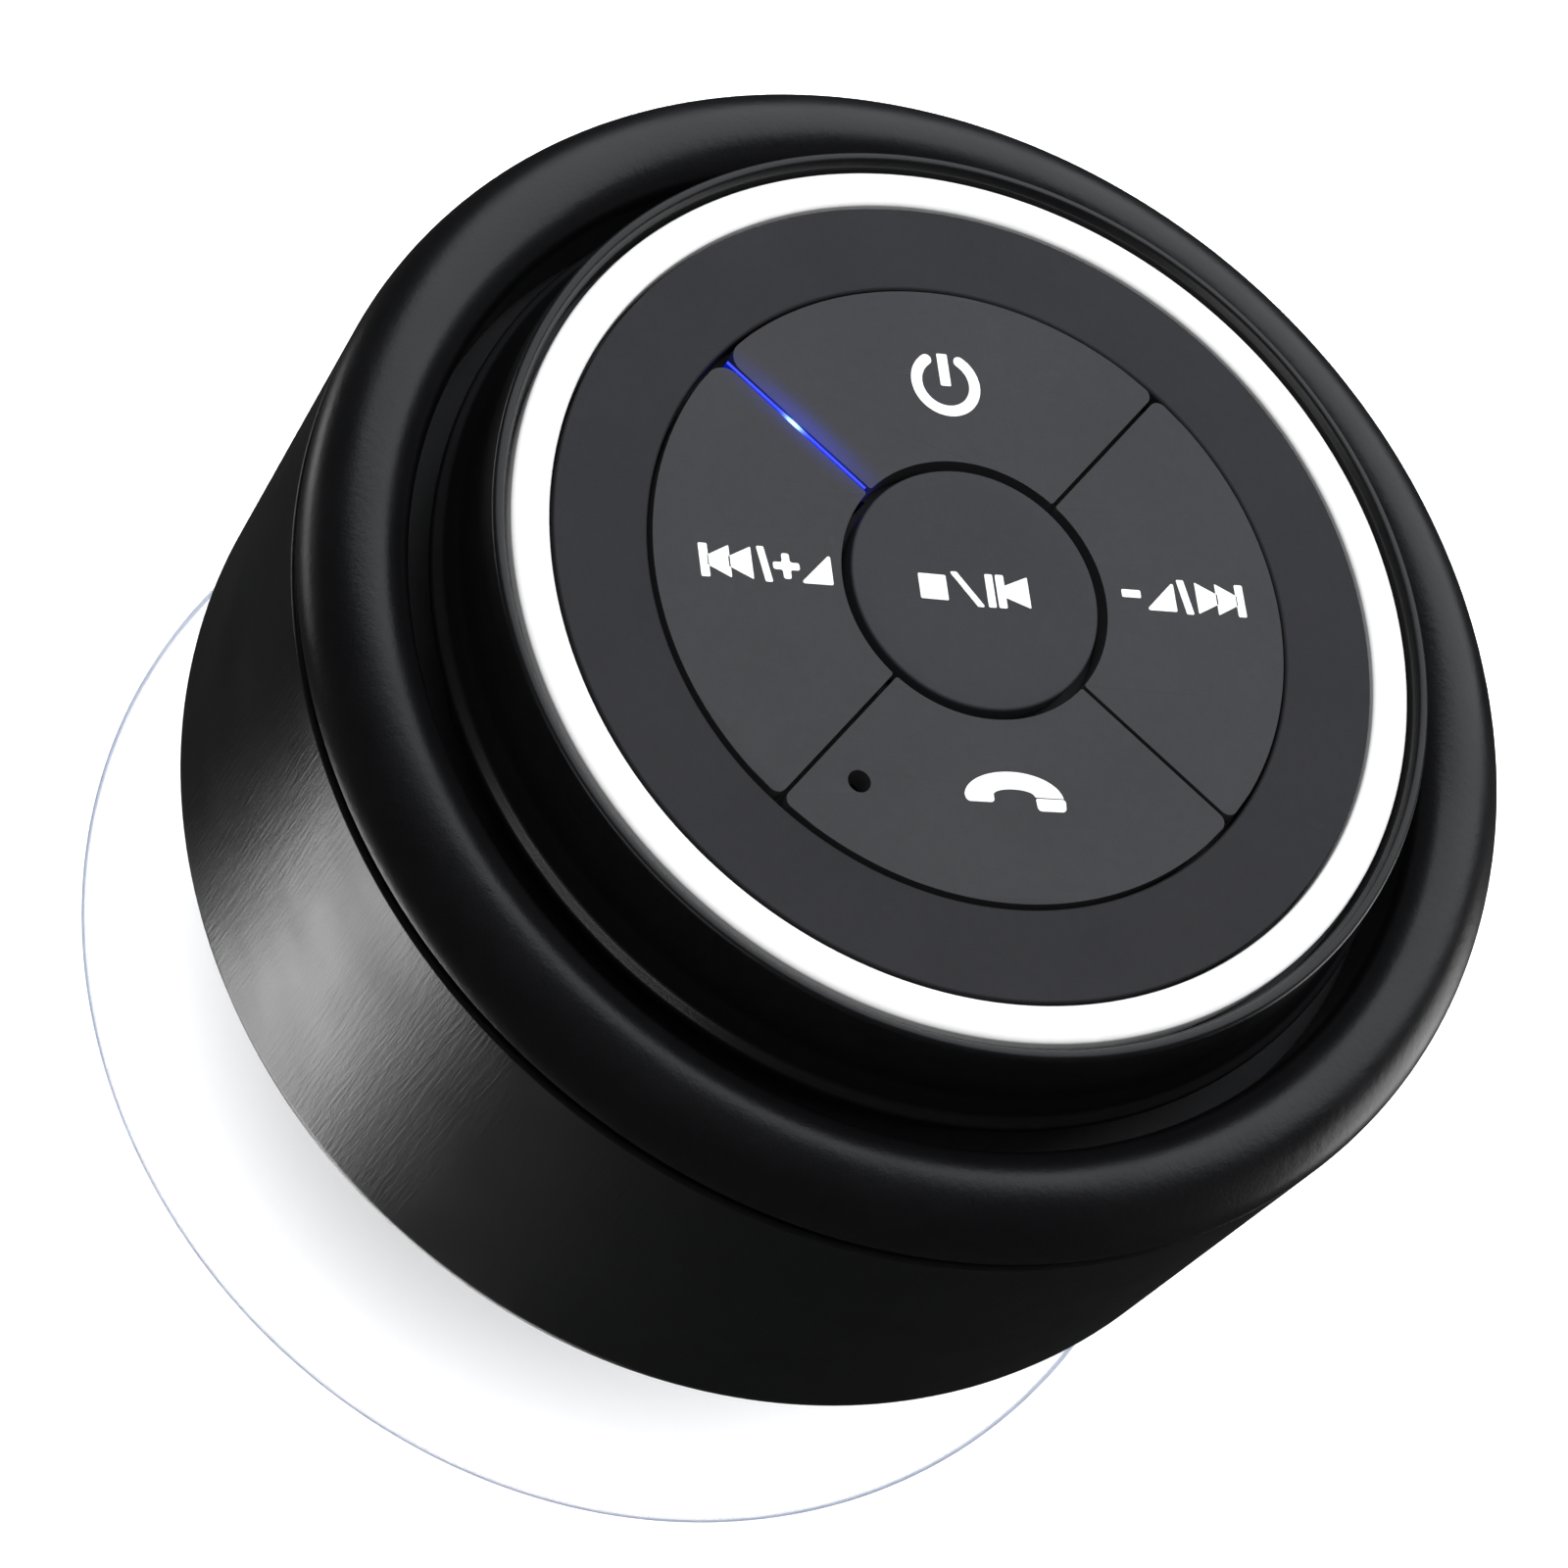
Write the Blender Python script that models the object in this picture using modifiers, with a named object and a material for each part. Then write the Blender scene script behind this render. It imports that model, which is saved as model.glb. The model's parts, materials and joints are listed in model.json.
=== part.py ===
"""Round waterproof shower speaker on a clear suction cup.

The speaker's axis is Z, with the keys facing up and +Y towards the power key. The origin is the
centre of the suction cup's rim, which is the plane that the speaker stands on. The constants are in
millimetres, and MM turns them into metres where the meshes are made.
"""

import math

import bmesh
import bpy
from mathutils import Matrix, Vector

MM = 0.001

# ---------------------------------------------------------------------------------------------
# Driving dimensions, in millimetres
# ---------------------------------------------------------------------------------------------

GAP = 0.3  # clearance between two pieces that touch

BODY_R = 43.0  # drum and front ring
WALL = 2.2  # drum wall and floor
BACK_Z = 23.0  # outside of the drum's floor
SEAM_Z = 54.0  # underside of the front ring
FACE_Z = 63.5  # top of the keys

CUP_R = 44.0  # suction cup's rim
CUP_NECK_R = 9.5
CUP_NECK_TOP = 19.4

CROWN_R = 38.9  # crown of the front ring
CROWN_Z = 58.2
SLOT_OUTER_R = 36.1  # outer wall of the annular sound slot
POD_LIP_R = 34.7  # widest part of the pod, over the slot
POD_RIM_R = 33.0

TRIM_INNER_R = 29.1  # white ring
TRIM_OUTER_R = 31.65
FACE_OUTER_R = 28.85  # dark annulus
FACE_INNER_R = 22.62
KEYS_R = 22.3  # outer edge of the sector keys
SECTOR_INNER_R = 9.42
PLAY_KEY_R = 8.75
KEY_SPLIT = 0.34  # gap between two sector keys
LIGHT_SPLIT = 0.52  # the wider gap that holds the light pipe
KEY_THICK = 1.9
KEY_TRAVEL = 0.5
KEY_STEM_R = 1.9
KEY_STEM_TIP_Z = 59.95
SECTOR_STEM_R = 15.2  # radius of the circle that the sector keys' stems lie on
KEY_CORNER = 0.9  # corner radius of a sector key
SECTOR_KEYS = {"power_key": 90, "previous_key": 180, "next_key": 0, "call_key": -90}
LIGHT_ANGLE = 135  # the gap that holds the light pipe
LIGHT_INNER_R = 9.7
LIGHT_OUTER_R = 21.9
LIGHT_BLADE = 0.24  # thickness of the light pipe in that gap
MIC_R = 17.6
MIC_ANGLE = -125.5
MIC_HOLE_R = 0.65

BOARD_Z = 56.5  # underside of the key board
BOARD_THICK = 1.0
SEAL_Z = 60.4
SEAL_THICK = 0.5
SWITCH_SIDE = 5.2
SWITCH_HEIGHT = 1.4
PLUNGER_R = 1.5

LEDGE_Z = 61.3  # ledge of the pod that the white ring and the annulus lie over
POD_SKIRT_Z = 55.45  # lowest edge of the pod's wall
POD_FLOOR_Z = 53.6  # underside of the pod
BAFFLE_Z = 46.6
BAFFLE_R = 38.2
BAFFLE_THICK = 2.0
DRIVER_FLANGE_R = 26.0
DRIVER_FLANGE_LOW = 45.2
DRIVER_HOLE_R = 23.8  # opening of the baffle over the driver
POST_R = 29.5  # circle of the posts that carry the pod
SCREW_CIRCLE = 34.0  # circle of the housing screws
DRIVER_SCREW_CIRCLE = 25.1
COIL_INNER_R = 6.35
COIL_OUTER_R = 6.9
CONE_R = 20.3

PORT_Z = 34.2  # centre of the charging port, at +X
PORT_WIDTH = 9.6
PORT_HEIGHT = 3.9
POCKET_WIDTH = 15.0
POCKET_HEIGHT = 9.0
POCKET_DEPTH = 1.3

LARGE_STEPS = 40  # segments of the large turned pieces
MIDDLE_STEPS = 24
SMALL_STEPS = 12


# ---------------------------------------------------------------------------------------------
# Scene and materials
# ---------------------------------------------------------------------------------------------

for old in list(bpy.data.objects):
    bpy.data.objects.remove(old, do_unlink=True)

PARTS = bpy.data.collections.new("shower_speaker")
CUTTERS = bpy.data.collections.new("cutters")
for collection in (PARTS, CUTTERS):
    bpy.context.scene.collection.children.link(collection)
CUTTERS.hide_render = True


def material(name, color, roughness, metallic=0.0):
    made = bpy.data.materials.new(name)
    made.use_nodes = True
    shader = made.node_tree.nodes["Principled BSDF"]
    shader.inputs["Base Color"].default_value = (*color, 1.0)
    shader.inputs["Roughness"].default_value = roughness
    shader.inputs["Metallic"].default_value = metallic
    made.diffuse_color = (*color, 1.0)
    return made


RUBBER_COAT = material("rubber_coat", (0.018, 0.018, 0.020), 0.50)
POD_BLACK = material("pod_black", (0.015, 0.015, 0.017), 0.42)
FACE_GREY = material("face_grey", (0.060, 0.060, 0.066), 0.62)
KEY_GREY = material("key_grey", (0.072, 0.072, 0.080), 0.58)
PLAY_GREY = material("play_grey", (0.062, 0.066, 0.082), 0.50)
TRIM_WHITE = material("trim_white", (0.90, 0.90, 0.90), 0.30)
CLEAR_PVC = material("clear_pvc", (0.86, 0.90, 0.93), 0.12)
LIGHT_BLUE = material("light_blue", (0.03, 0.08, 0.95), 0.20)
SILICONE = material("silicone_black", (0.020, 0.020, 0.022), 0.65)
INNER_BLACK = material("inner_black", (0.030, 0.030, 0.032), 0.60)
CIRCUIT_GREEN = material("circuit_green", (0.015, 0.14, 0.055), 0.45)
CHIP_BLACK = material("chip_black", (0.025, 0.025, 0.027), 0.50)
STEEL = material("steel", (0.55, 0.55, 0.57), 0.35, 1.0)
BRASS = material("brass", (0.72, 0.52, 0.22), 0.30, 1.0)
COPPER = material("copper", (0.74, 0.36, 0.20), 0.35, 1.0)
FERRITE = material("ferrite", (0.045, 0.045, 0.050), 0.55)
PAPER_CONE = material("paper_cone", (0.050, 0.048, 0.046), 0.85)
SPIDER_CLOTH = material("spider_cloth", (0.48, 0.32, 0.14), 0.90)
FOIL = material("battery_foil", (0.62, 0.63, 0.66), 0.38, 1.0)
LED_WHITE = material("led_white", (0.80, 0.82, 0.86), 0.35)


# ---------------------------------------------------------------------------------------------
# Modelling helpers
# ---------------------------------------------------------------------------------------------


def new_object(name, mesh, finish, collection=PARTS):
    made = bpy.data.objects.new(name, mesh)
    collection.objects.link(made)
    mesh.materials.append(finish)
    return made


def smooth(obj, degrees=35):
    """Shades a round piece smooth, apart from its real edges."""
    obj.data.shade_smooth()
    obj.data.set_sharp_from_angle(angle=math.radians(degrees))
    return obj


def polar(radius, degrees):
    angle = math.radians(degrees)
    return (radius * math.cos(angle), radius * math.sin(angle))


def arc(center, radius, start, end, count):
    """Points of an arc, in degrees, with both ends."""
    steps = [start + (end - start) * i / (count - 1) for i in range(count)]
    return [(center[0] + polar(radius, a)[0], center[1] + polar(radius, a)[1]) for a in steps]


def ellipse_arc(center, radii, start, end, count):
    points = arc((0, 0), 1, start, end, count)
    return [(center[0] + radii[0] * x, center[1] + radii[1] * y) for x, y in points]


def evaluated_mesh(obj):
    graph = bpy.context.evaluated_depsgraph_get()
    return bpy.data.meshes.new_from_object(obj.evaluated_get(graph))


def signed_area(points):
    pairs = zip(points, points[1:] + points[:1])
    return sum(a[0] * b[1] - b[0] * a[1] for a, b in pairs) / 2


def turned(name, profile, finish, steps=MIDDLE_STEPS, collection=PARTS, place=(0, 0, 0)):
    """A turned solid. The profile lists (radius, height); one that starts and ends on the axis is
    closed by it, and any other is a ring's closed section."""
    points = list(profile)
    if signed_area(points) > 0:
        points.reverse()
    on_axis = [i for i, point in enumerate(points) if point[0] == 0]
    if on_axis:
        # The stretch along the axis is left out, so the profile runs from axis to axis.
        first = next(i for i in on_axis if points[i - 1][0] == 0)
        points = points[first:] + points[:first]
    mesh = bpy.data.meshes.new(name)
    count = len(points)
    edges = [(i, i + 1) for i in range(count - 1)]
    if not on_axis:
        edges.append((count - 1, 0))
    mesh.from_pydata([(r * MM, 0, z * MM) for r, z in points], edges, [])
    made = new_object(name, mesh, finish, collection)
    screw = made.modifiers.new("turn", "SCREW")
    screw.steps = steps
    screw.render_steps = steps
    screw.use_merge_vertices = True
    screw.merge_threshold = 0.00001
    screw.use_normal_calculate = False
    bpy.context.view_layer.update()
    solid = evaluated_mesh(made)
    made.modifiers.clear()
    made.data = solid
    made.location = Vector(place) * MM
    return smooth(made)


def disc(name, radius, low, high, finish, steps=SMALL_STEPS, collection=PARTS, place=(0, 0)):
    """A plain upright cylinder at place."""
    profile = [(0, high), (radius, high), (radius, low), (0, low)]
    return turned(name, profile, finish, steps, collection, (place[0], place[1], 0))


def helper_disc(name, radius, low, high, place):
    """An upright cylinder that is joined to a piece or cut out of it."""
    return disc(name, radius, low, high, INNER_BLACK, SMALL_STEPS, CUTTERS, place)


def ring(name, inner, outer, low, high, finish, steps=MIDDLE_STEPS, collection=PARTS):
    profile = [(outer, high), (outer, low), (inner, low), (inner, high)]
    return turned(name, profile, finish, steps, collection)


def circle(radius, count=LARGE_STEPS, center=(0, 0)):
    return arc(center, radius, 0, 360, count + 1)[:-1]


def plate(name, outlines, low, high, finish, collection=PARTS):
    """A flat plate between two heights. The first outline is its edge and the others are holes."""
    curve = bpy.data.curves.new(name, "CURVE")
    curve.dimensions = "2D"
    curve.fill_mode = "BOTH"
    curve.extrude = (high - low) / 2 * MM
    for outline in outlines:
        spline = curve.splines.new("POLY")
        spline.points.add(len(outline) - 1)
        for point, (x, y) in zip(spline.points, outline):
            point.co = (x * MM, y * MM, 0, 1)
        spline.use_cyclic_u = True
    flat = bpy.data.objects.new(name + "_outline", curve)
    collection.objects.link(flat)
    flat.location.z = (low + high) / 2 * MM
    bpy.context.view_layer.update()
    mesh = evaluated_mesh(flat)
    place = flat.matrix_world.copy()
    bpy.data.objects.remove(flat, do_unlink=True)
    work = bmesh.new()
    work.from_mesh(mesh)
    bmesh.ops.remove_doubles(work, verts=work.verts, dist=0.000001)
    bmesh.ops.recalc_face_normals(work, faces=work.faces)
    work.to_mesh(mesh)
    work.free()
    mesh.name = name
    mesh.materials.clear()
    made = new_object(name, mesh, finish, collection)
    made.matrix_world = place
    return smooth(made)


def box(name, size, center, finish, collection=PARTS, edge=0.0):
    """A block of this size, with its edges rounded by edge."""
    mesh = bpy.data.meshes.new(name)
    work = bmesh.new()
    bmesh.ops.create_cube(work, size=1.0)
    bmesh.ops.scale(work, vec=Vector(size) * MM, verts=work.verts)
    work.to_mesh(mesh)
    work.free()
    made = new_object(name, mesh, finish, collection)
    made.location = Vector(center) * MM
    if edge:
        rounded(made, edge)
    return made


def rounded(obj, width, segments=2):
    """Rounds every edge between two flats."""
    bevel = obj.modifiers.new("edges", "BEVEL")
    bevel.width = width * MM
    bevel.segments = segments
    bevel.limit_method = "ANGLE"
    bevel.angle_limit = math.radians(50)


def boolean(obj, other, operation):
    cut = obj.modifiers.new(other.name, "BOOLEAN")
    cut.operation = operation
    cut.solver = "EXACT"
    cut.object = other
    other.hide_render = True
    other.display_type = "WIRE"


def apply_modifiers(obj):
    """Makes the evaluated shape the object's own mesh, so that a copy or a Bevel can start from it."""
    bpy.context.view_layer.update()
    mesh = evaluated_mesh(obj)
    obj.modifiers.clear()
    obj.data = mesh


def round_slot(width, height):
    """A slot with round ends, about the origin."""
    radius = height / 2
    reach = width / 2 - radius
    return arc((reach, 0), radius, -90, 90, 9) + arc((-reach, 0), radius, 90, 270, 9)


# ---------------------------------------------------------------------------------------------
# Suction cup
# ---------------------------------------------------------------------------------------------


def make_suction_cup():
    bore_r, bore_floor = 4.3, 13.4
    bore = [(0, bore_floor), (bore_r, bore_floor), (bore_r, CUP_NECK_TOP)]
    neck = [(CUP_NECK_R - 0.7, CUP_NECK_TOP), (CUP_NECK_R, CUP_NECK_TOP - 0.7)]
    dome_top = [(CUP_NECK_R + 0.3, 15.2), (13.0, 12.6), (20.0, 10.2), (28.0, 7.6), (36.0, 4.6)]
    rim = [(42.0, 1.75), (43.7, 0.95), (CUP_R, 0.5), (43.8, 0.0), (42.4, 0.0)]
    dome_under = [(38.5, 1.5), (31.0, 4.3), (22.0, 7.0), (12.0, 9.2), (0, 10.0)]
    turned("suction_cup", bore + neck + dome_top + rim + dome_under, CLEAR_PVC, LARGE_STEPS)

    # The stud's flange lies on the neck, its stem is in the cup's bore and its thread in the drum.
    flange_r, flange_low, flange_high = 9.0, CUP_NECK_TOP + GAP, 22.6
    stem_r, stem_tip = bore_r - 0.35, bore_floor + 0.4
    thread_r, thread_tip = 2.5, 26.1
    stud = [
        (0, thread_tip),
        (thread_r - 0.3, thread_tip),
        (thread_r, thread_tip - 0.4),
        (thread_r, flange_high),
        (flange_r - 0.4, flange_high),
        (flange_r, flange_high - 0.4),
        (flange_r, flange_low + 0.5),
        (flange_r - 0.4, flange_low),
        (stem_r, flange_low),
        (stem_r, stem_tip + 0.4),
        (stem_r - 0.45, stem_tip),
        (0, stem_tip),
    ]
    turned("cup_stud", stud, INNER_BLACK)


# ---------------------------------------------------------------------------------------------
# Drum
# ---------------------------------------------------------------------------------------------

SCREW_ANGLES = (45, 135, 225, 315)
TUBE_R = 3.1
TUBE_TOP = BAFFLE_Z - GAP
HEAD_SEAT_Z = BACK_Z + 2.6  # where the housing screws' heads bear
INSERT_BORE_R = 4.4
INSERT_BOSS_R = 7.0
INSERT_BOSS_TOP = 26.8


def facing_port(piece, middle):
    """Turns a piece that was drawn about the origin to face +X, this far out at the port's height."""
    axes = Matrix(((0, 0, 1, 0), (1, 0, 0, 0), (0, 1, 0, 0), (0, 0, 0, 1)))
    piece.matrix_world = Matrix.Translation(Vector((middle, 0, PORT_Z)) * MM) @ axes


def port_plate(name, width, height, near, far, finish, collection):
    """A plate with round ends that faces +X, between two distances from the drum's axis."""
    made = plate(name, [round_slot(width, height)], near, far, finish, collection)
    facing_port(made, (near + far) / 2)
    return made


def make_rear_housing():
    inner_r = BODY_R - WALL
    floor_z = BACK_Z + WALL
    inner_fillet = 1.2
    back_edge_r = 2.6
    lip_z = SEAM_Z - 0.6
    lip_bevel = 0.35
    shell = [(inner_r, lip_z), (BODY_R - lip_bevel, lip_z), (BODY_R, lip_z - lip_bevel)]
    shell += arc((BODY_R - back_edge_r, BACK_Z + back_edge_r), back_edge_r, 0, -90, 6)
    shell += [(INSERT_BORE_R, BACK_Z), (INSERT_BORE_R, INSERT_BOSS_TOP)]
    shell += [(INSERT_BOSS_R, INSERT_BOSS_TOP), (INSERT_BOSS_R, floor_z)]
    shell += [(inner_r - inner_fillet, floor_z), (inner_r, floor_z + inner_fillet)]
    housing = turned("rear_housing", shell, RUBBER_COAT, LARGE_STEPS)

    spots = [polar(SCREW_CIRCLE, angle) for angle in SCREW_ANGLES]
    for number, spot in enumerate(spots, 1):
        tube = helper_disc(f"tube_{number}", TUBE_R, BACK_Z + 1.0, TUBE_TOP, spot)
        boolean(housing, tube, "UNION")
    screw_hole_r, head_hole_r = 1.6, 2.7
    past = 1.0  # how far the cutters run past the faces they open
    bore = [
        (0, TUBE_TOP + past),
        (screw_hole_r, TUBE_TOP + past),
        (screw_hole_r, HEAD_SEAT_Z),
        (head_hole_r, HEAD_SEAT_Z),
        (head_hole_r, BACK_Z - past),
        (0, BACK_Z - past),
    ]
    for number, spot in enumerate(spots, 1):
        cutter = turned(f"bore_{number}", bore, RUBBER_COAT, SMALL_STEPS, CUTTERS, (*spot, 0))
        boolean(housing, cutter, "DIFFERENCE")

    floor_r = BODY_R - POCKET_DEPTH
    openings = {
        "pocket": (POCKET_WIDTH, POCKET_HEIGHT, floor_r, floor_r + 5),
        "port": (PORT_WIDTH, PORT_HEIGHT, floor_r - 4, floor_r + 4),
    }
    for name, (width, height, near, far) in openings.items():
        cutter = port_plate(name, width, height, near, far, RUBBER_COAT, CUTTERS)
        boolean(housing, cutter, "DIFFERENCE")


def make_port_plug():
    """Rubber flap: a lid in the pocket, and a short spigot in the port. It swings on its +Y end."""
    width = POCKET_WIDTH - 0.8
    lid_near = BODY_R - POCKET_DEPTH + GAP
    lid = port_plate(
        "port_plug", width, POCKET_HEIGHT - 0.8, lid_near, BODY_R - 0.15, SILICONE, PARTS
    )
    spigot = port_plate(
        "spigot", PORT_WIDTH - 2.4, PORT_HEIGHT - 1.2, 40.4, lid_near + 0.2, SILICONE, CUTTERS
    )
    boolean(lid, spigot, "UNION")
    hinge = bpy.data.objects.new("port_plug_hinge", None)
    PARTS.objects.link(hinge)
    hinge.empty_display_size = 2 * MM
    hinge.location = Vector((BODY_R - 0.1, width / 2 - 0.2, PORT_Z)) * MM
    bpy.context.view_layer.update()
    lid.parent = hinge
    lid.matrix_parent_inverse = hinge.matrix_world.inverted()


def make_fasteners():
    head_low = BACK_Z + 0.7
    head_high = HEAD_SEAT_Z - GAP
    socket_top = head_low + 0.9
    tip = BAFFLE_Z + 1.7
    housing_screw = [
        (0, tip),
        (0.7, tip),
        (1.25, tip - 0.8),
        (1.25, head_high),
        (2.3, head_high),
        (2.3, head_low + 0.4),
        (1.9, head_low),
        (0.9, head_low),
        (0.9, socket_top),
        (0, socket_top),
    ]
    flange_under = DRIVER_FLANGE_LOW
    driver_tip = BAFFLE_Z + 1.4
    driver_screw = [
        (0, driver_tip),
        (0.5, driver_tip),
        (0.65, driver_tip - 0.4),
        (0.65, flange_under - 0.5),
        (1.3, flange_under - 0.5),
        (1.3, flange_under - 1.2),
        (0.9, flange_under - 1.5),
        (0, flange_under - 1.5),
    ]
    for number, angle in enumerate(SCREW_ANGLES, 1):
        spot = polar(SCREW_CIRCLE, angle)
        turned(f"housing_screw_{number}", housing_screw, STEEL, SMALL_STEPS, PARTS, (*spot, 0))
        spot = polar(DRIVER_SCREW_CIRCLE, angle + 45)
        turned(f"driver_screw_{number}", driver_screw, STEEL, SMALL_STEPS, PARTS, (*spot, 0))


# ---------------------------------------------------------------------------------------------
# Front ring, baffle and pod
# ---------------------------------------------------------------------------------------------


def make_front_ring():
    outer_low = SEAM_Z + 0.4
    inner_low = 55.6
    outer_radii = (BODY_R - CROWN_R, CROWN_Z - outer_low)
    inner_radii = (CROWN_R - SLOT_OUTER_R, CROWN_Z - inner_low)
    section = [(BODY_R - 0.3, SEAM_Z)]
    section += ellipse_arc((CROWN_R, outer_low), outer_radii, 0, 90, 7)
    section += ellipse_arc((CROWN_R, inner_low), inner_radii, 90, 180, 5)[1:]
    # The spigot goes down inside the drum, with a groove for the O-ring.
    step_z = 51.4
    spigot_inner_r, spigot_r = 38.6, BODY_R - WALL - 0.35
    spigot_low = 49.1
    groove_r, groove_low, groove_high = 39.5, 50.2, 51.8
    section += [(SLOT_OUTER_R, step_z), (spigot_inner_r, step_z), (spigot_inner_r, spigot_low)]
    section += [(spigot_r, spigot_low), (spigot_r, groove_low), (groove_r, groove_low)]
    section += [(groove_r, groove_high), (spigot_r, groove_high), (spigot_r, SEAM_Z)]
    turned("front_ring", section, RUBBER_COAT, LARGE_STEPS)
    seal_r = 0.45
    seal_middle = (groove_r + 0.25 + seal_r, (groove_low + groove_high) / 2)
    turned("body_o_ring", arc(seal_middle, seal_r, 0, 300, 6), SILICONE, LARGE_STEPS)
    ring("slot_mesh", 32.6, BAFFLE_R, 50.2, 50.6, INNER_BLACK, LARGE_STEPS)


def make_front_baffle():
    top = BAFFLE_Z + BAFFLE_THICK
    step_r = SCREW_CIRCLE - 2.6
    rim_top = top + 1.2
    section = [(BAFFLE_R, rim_top), (BAFFLE_R, BAFFLE_Z), (DRIVER_HOLE_R, BAFFLE_Z)]
    section += [(DRIVER_HOLE_R, top), (step_r, top), (step_r, rim_top)]
    baffle = turned("front_baffle", section, INNER_BLACK, LARGE_STEPS)
    post_r, post_top = 2.0, POD_FLOOR_Z - GAP
    for number, angle in enumerate(SCREW_ANGLES, 1):
        spot = polar(POST_R, angle + 22.5)
        post = helper_disc(f"post_{number}", post_r, BAFFLE_Z + 0.8, post_top, spot)
        boolean(baffle, post, "UNION")
    low = BAFFLE_Z - 1
    for number, angle in enumerate(SCREW_ANGLES, 1):
        blind_hole = helper_disc(
            f"screw_hole_{number}", 1.55, low, top + 0.2, polar(SCREW_CIRCLE, angle)
        )
        driver_hole = helper_disc(
            f"driver_hole_{number}", 0.95, low, top + 1, polar(DRIVER_SCREW_CIRCLE, angle + 45)
        )
        boolean(baffle, blind_hole, "DIFFERENCE")
        boolean(baffle, driver_hole, "DIFFERENCE")


def make_pod():
    rim = [(32.05, 63.5), (32.25, 63.8), (32.55, 63.9), (32.85, 63.75), (POD_RIM_R, 63.4)]
    wall = [(33.15, 61.5), (33.5, 58.6), (33.95, 57.2), (34.45, 56.7)]
    lip = [(POD_LIP_R, 56.3), (POD_LIP_R + 0.02, 55.95), (34.5, 55.6), (34.1, POD_SKIRT_Z)]
    inside = [(33.1, POD_SKIRT_Z), (32.6, 56.6), (32.0, LEDGE_Z - 0.8)]
    ledge = [(27.5, LEDGE_Z - 0.8), (27.5, LEDGE_Z), (32.05, LEDGE_Z)]
    turned("pod_shell", rim + wall + lip + inside + ledge, POD_BLACK, LARGE_STEPS)

    # The pod's floor carries the key board on a rib, and its under side spreads the sound.
    floor_top = POD_FLOOR_Z + 1.4
    rib_inner_r, rib_outer_r, rib_top = 24.8, 26.6, BOARD_Z - GAP
    base = [(0, floor_top), (rib_inner_r, floor_top), (rib_inner_r, rib_top)]
    base += [(rib_outer_r, rib_top), (rib_outer_r, floor_top), (32.6, floor_top)]
    base += [(32.6, POD_FLOOR_Z), (9.0, POD_FLOOR_Z), (4.0, 52.4), (0, 50.8)]
    turned("pod_base", base, INNER_BLACK)

    inlay_z = LEDGE_Z + 0.4
    crown = 0.5
    edge_z = FACE_Z + 0.2 - crown
    middle = (TRIM_OUTER_R + TRIM_INNER_R) / 2
    half = (TRIM_OUTER_R - TRIM_INNER_R) / 2
    bead = [(TRIM_OUTER_R, inlay_z)] + ellipse_arc((middle, edge_z), (half, crown), 0, 180, 7)
    turned("trim_ring", bead + [(TRIM_INNER_R, inlay_z)], TRIM_WHITE, LARGE_STEPS)
    face = [
        (FACE_OUTER_R - 0.1, FACE_Z - 0.15),
        (FACE_OUTER_R, FACE_Z - 0.3),
        (FACE_OUTER_R, inlay_z),
        (FACE_INNER_R, inlay_z),
        (FACE_INNER_R, FACE_Z - 0.3),
        (FACE_INNER_R + 0.15, FACE_Z - 0.15),
    ]
    turned("face_plate", face, FACE_GREY, LARGE_STEPS)


# ---------------------------------------------------------------------------------------------
# Keys, switches and light
# ---------------------------------------------------------------------------------------------


def round_corners(points, radius, corners):
    """Replaces each listed corner of a closed outline with a short curve."""
    out = []
    for i, point in enumerate(points):
        if i not in corners:
            out.append(point)
            continue
        here = Vector(point)
        before = (Vector(points[i - 1]) - here).normalized()
        after = (Vector(points[(i + 1) % len(points)]) - here).normalized()
        start = here + before * radius
        end = here + after * radius
        for t in (0.0, 0.25, 0.5, 0.75, 1.0):
            bend = start * (1 - t) ** 2 + here * 2 * t * (1 - t) + end * t**2
            out.append((bend.x, bend.y))
    return out


def sector_outline(middle):
    """Outline of a quarter key about the angle of its middle."""
    low, high = middle - 45, middle + 45

    def side(radius, edge):
        half_gap = (LIGHT_SPLIT if edge % 360 == LIGHT_ANGLE else KEY_SPLIT) / 2
        return math.degrees(math.asin(half_gap / radius))

    def between(radius):
        return low + side(radius, low), high - side(radius, high)

    outer = arc((0, 0), KEYS_R, *between(KEYS_R), 17)
    inner = arc((0, 0), SECTOR_INNER_R, *reversed(between(SECTOR_INNER_R)), 9)
    # The first and last stretch of the outer arc give way to its rounded corners.
    outline = [outer[0]] + outer[2:-2] + [outer[-1]] + inner
    corners = {0, len(outline) - len(inner) - 1}
    return round_corners(outline, KEY_CORNER, corners)


def add_stem(key, spot):
    stem = helper_disc(key.name + "_stem", KEY_STEM_R, KEY_STEM_TIP_Z, FACE_Z - 1.0, spot)
    boolean(key, stem, "UNION")


def make_keys():
    low = FACE_Z - KEY_THICK
    for name, middle in SECTOR_KEYS.items():
        outlines = [sector_outline(middle)]
        if name == "call_key":
            outlines.append(circle(MIC_HOLE_R, 12, polar(MIC_R, MIC_ANGLE)))
        key = plate(name, outlines, low, FACE_Z, KEY_GREY)
        rounded(key, 0.22, segments=1)
        apply_modifiers(key)
        add_stem(key, polar(SECTOR_STEM_R, middle))
    dish = 0.18
    top = [
        (0, FACE_Z - dish),
        (4.0, FACE_Z - dish * 0.7),
        (7.6, FACE_Z),
        (PLAY_KEY_R - 0.25, FACE_Z + 0.02),
        (PLAY_KEY_R, FACE_Z - 0.25),
        (PLAY_KEY_R, low),
        (0, low),
    ]
    play = turned("play_key", top, PLAY_GREY, LARGE_STEPS)
    add_stem(play, (0, 0))


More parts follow.
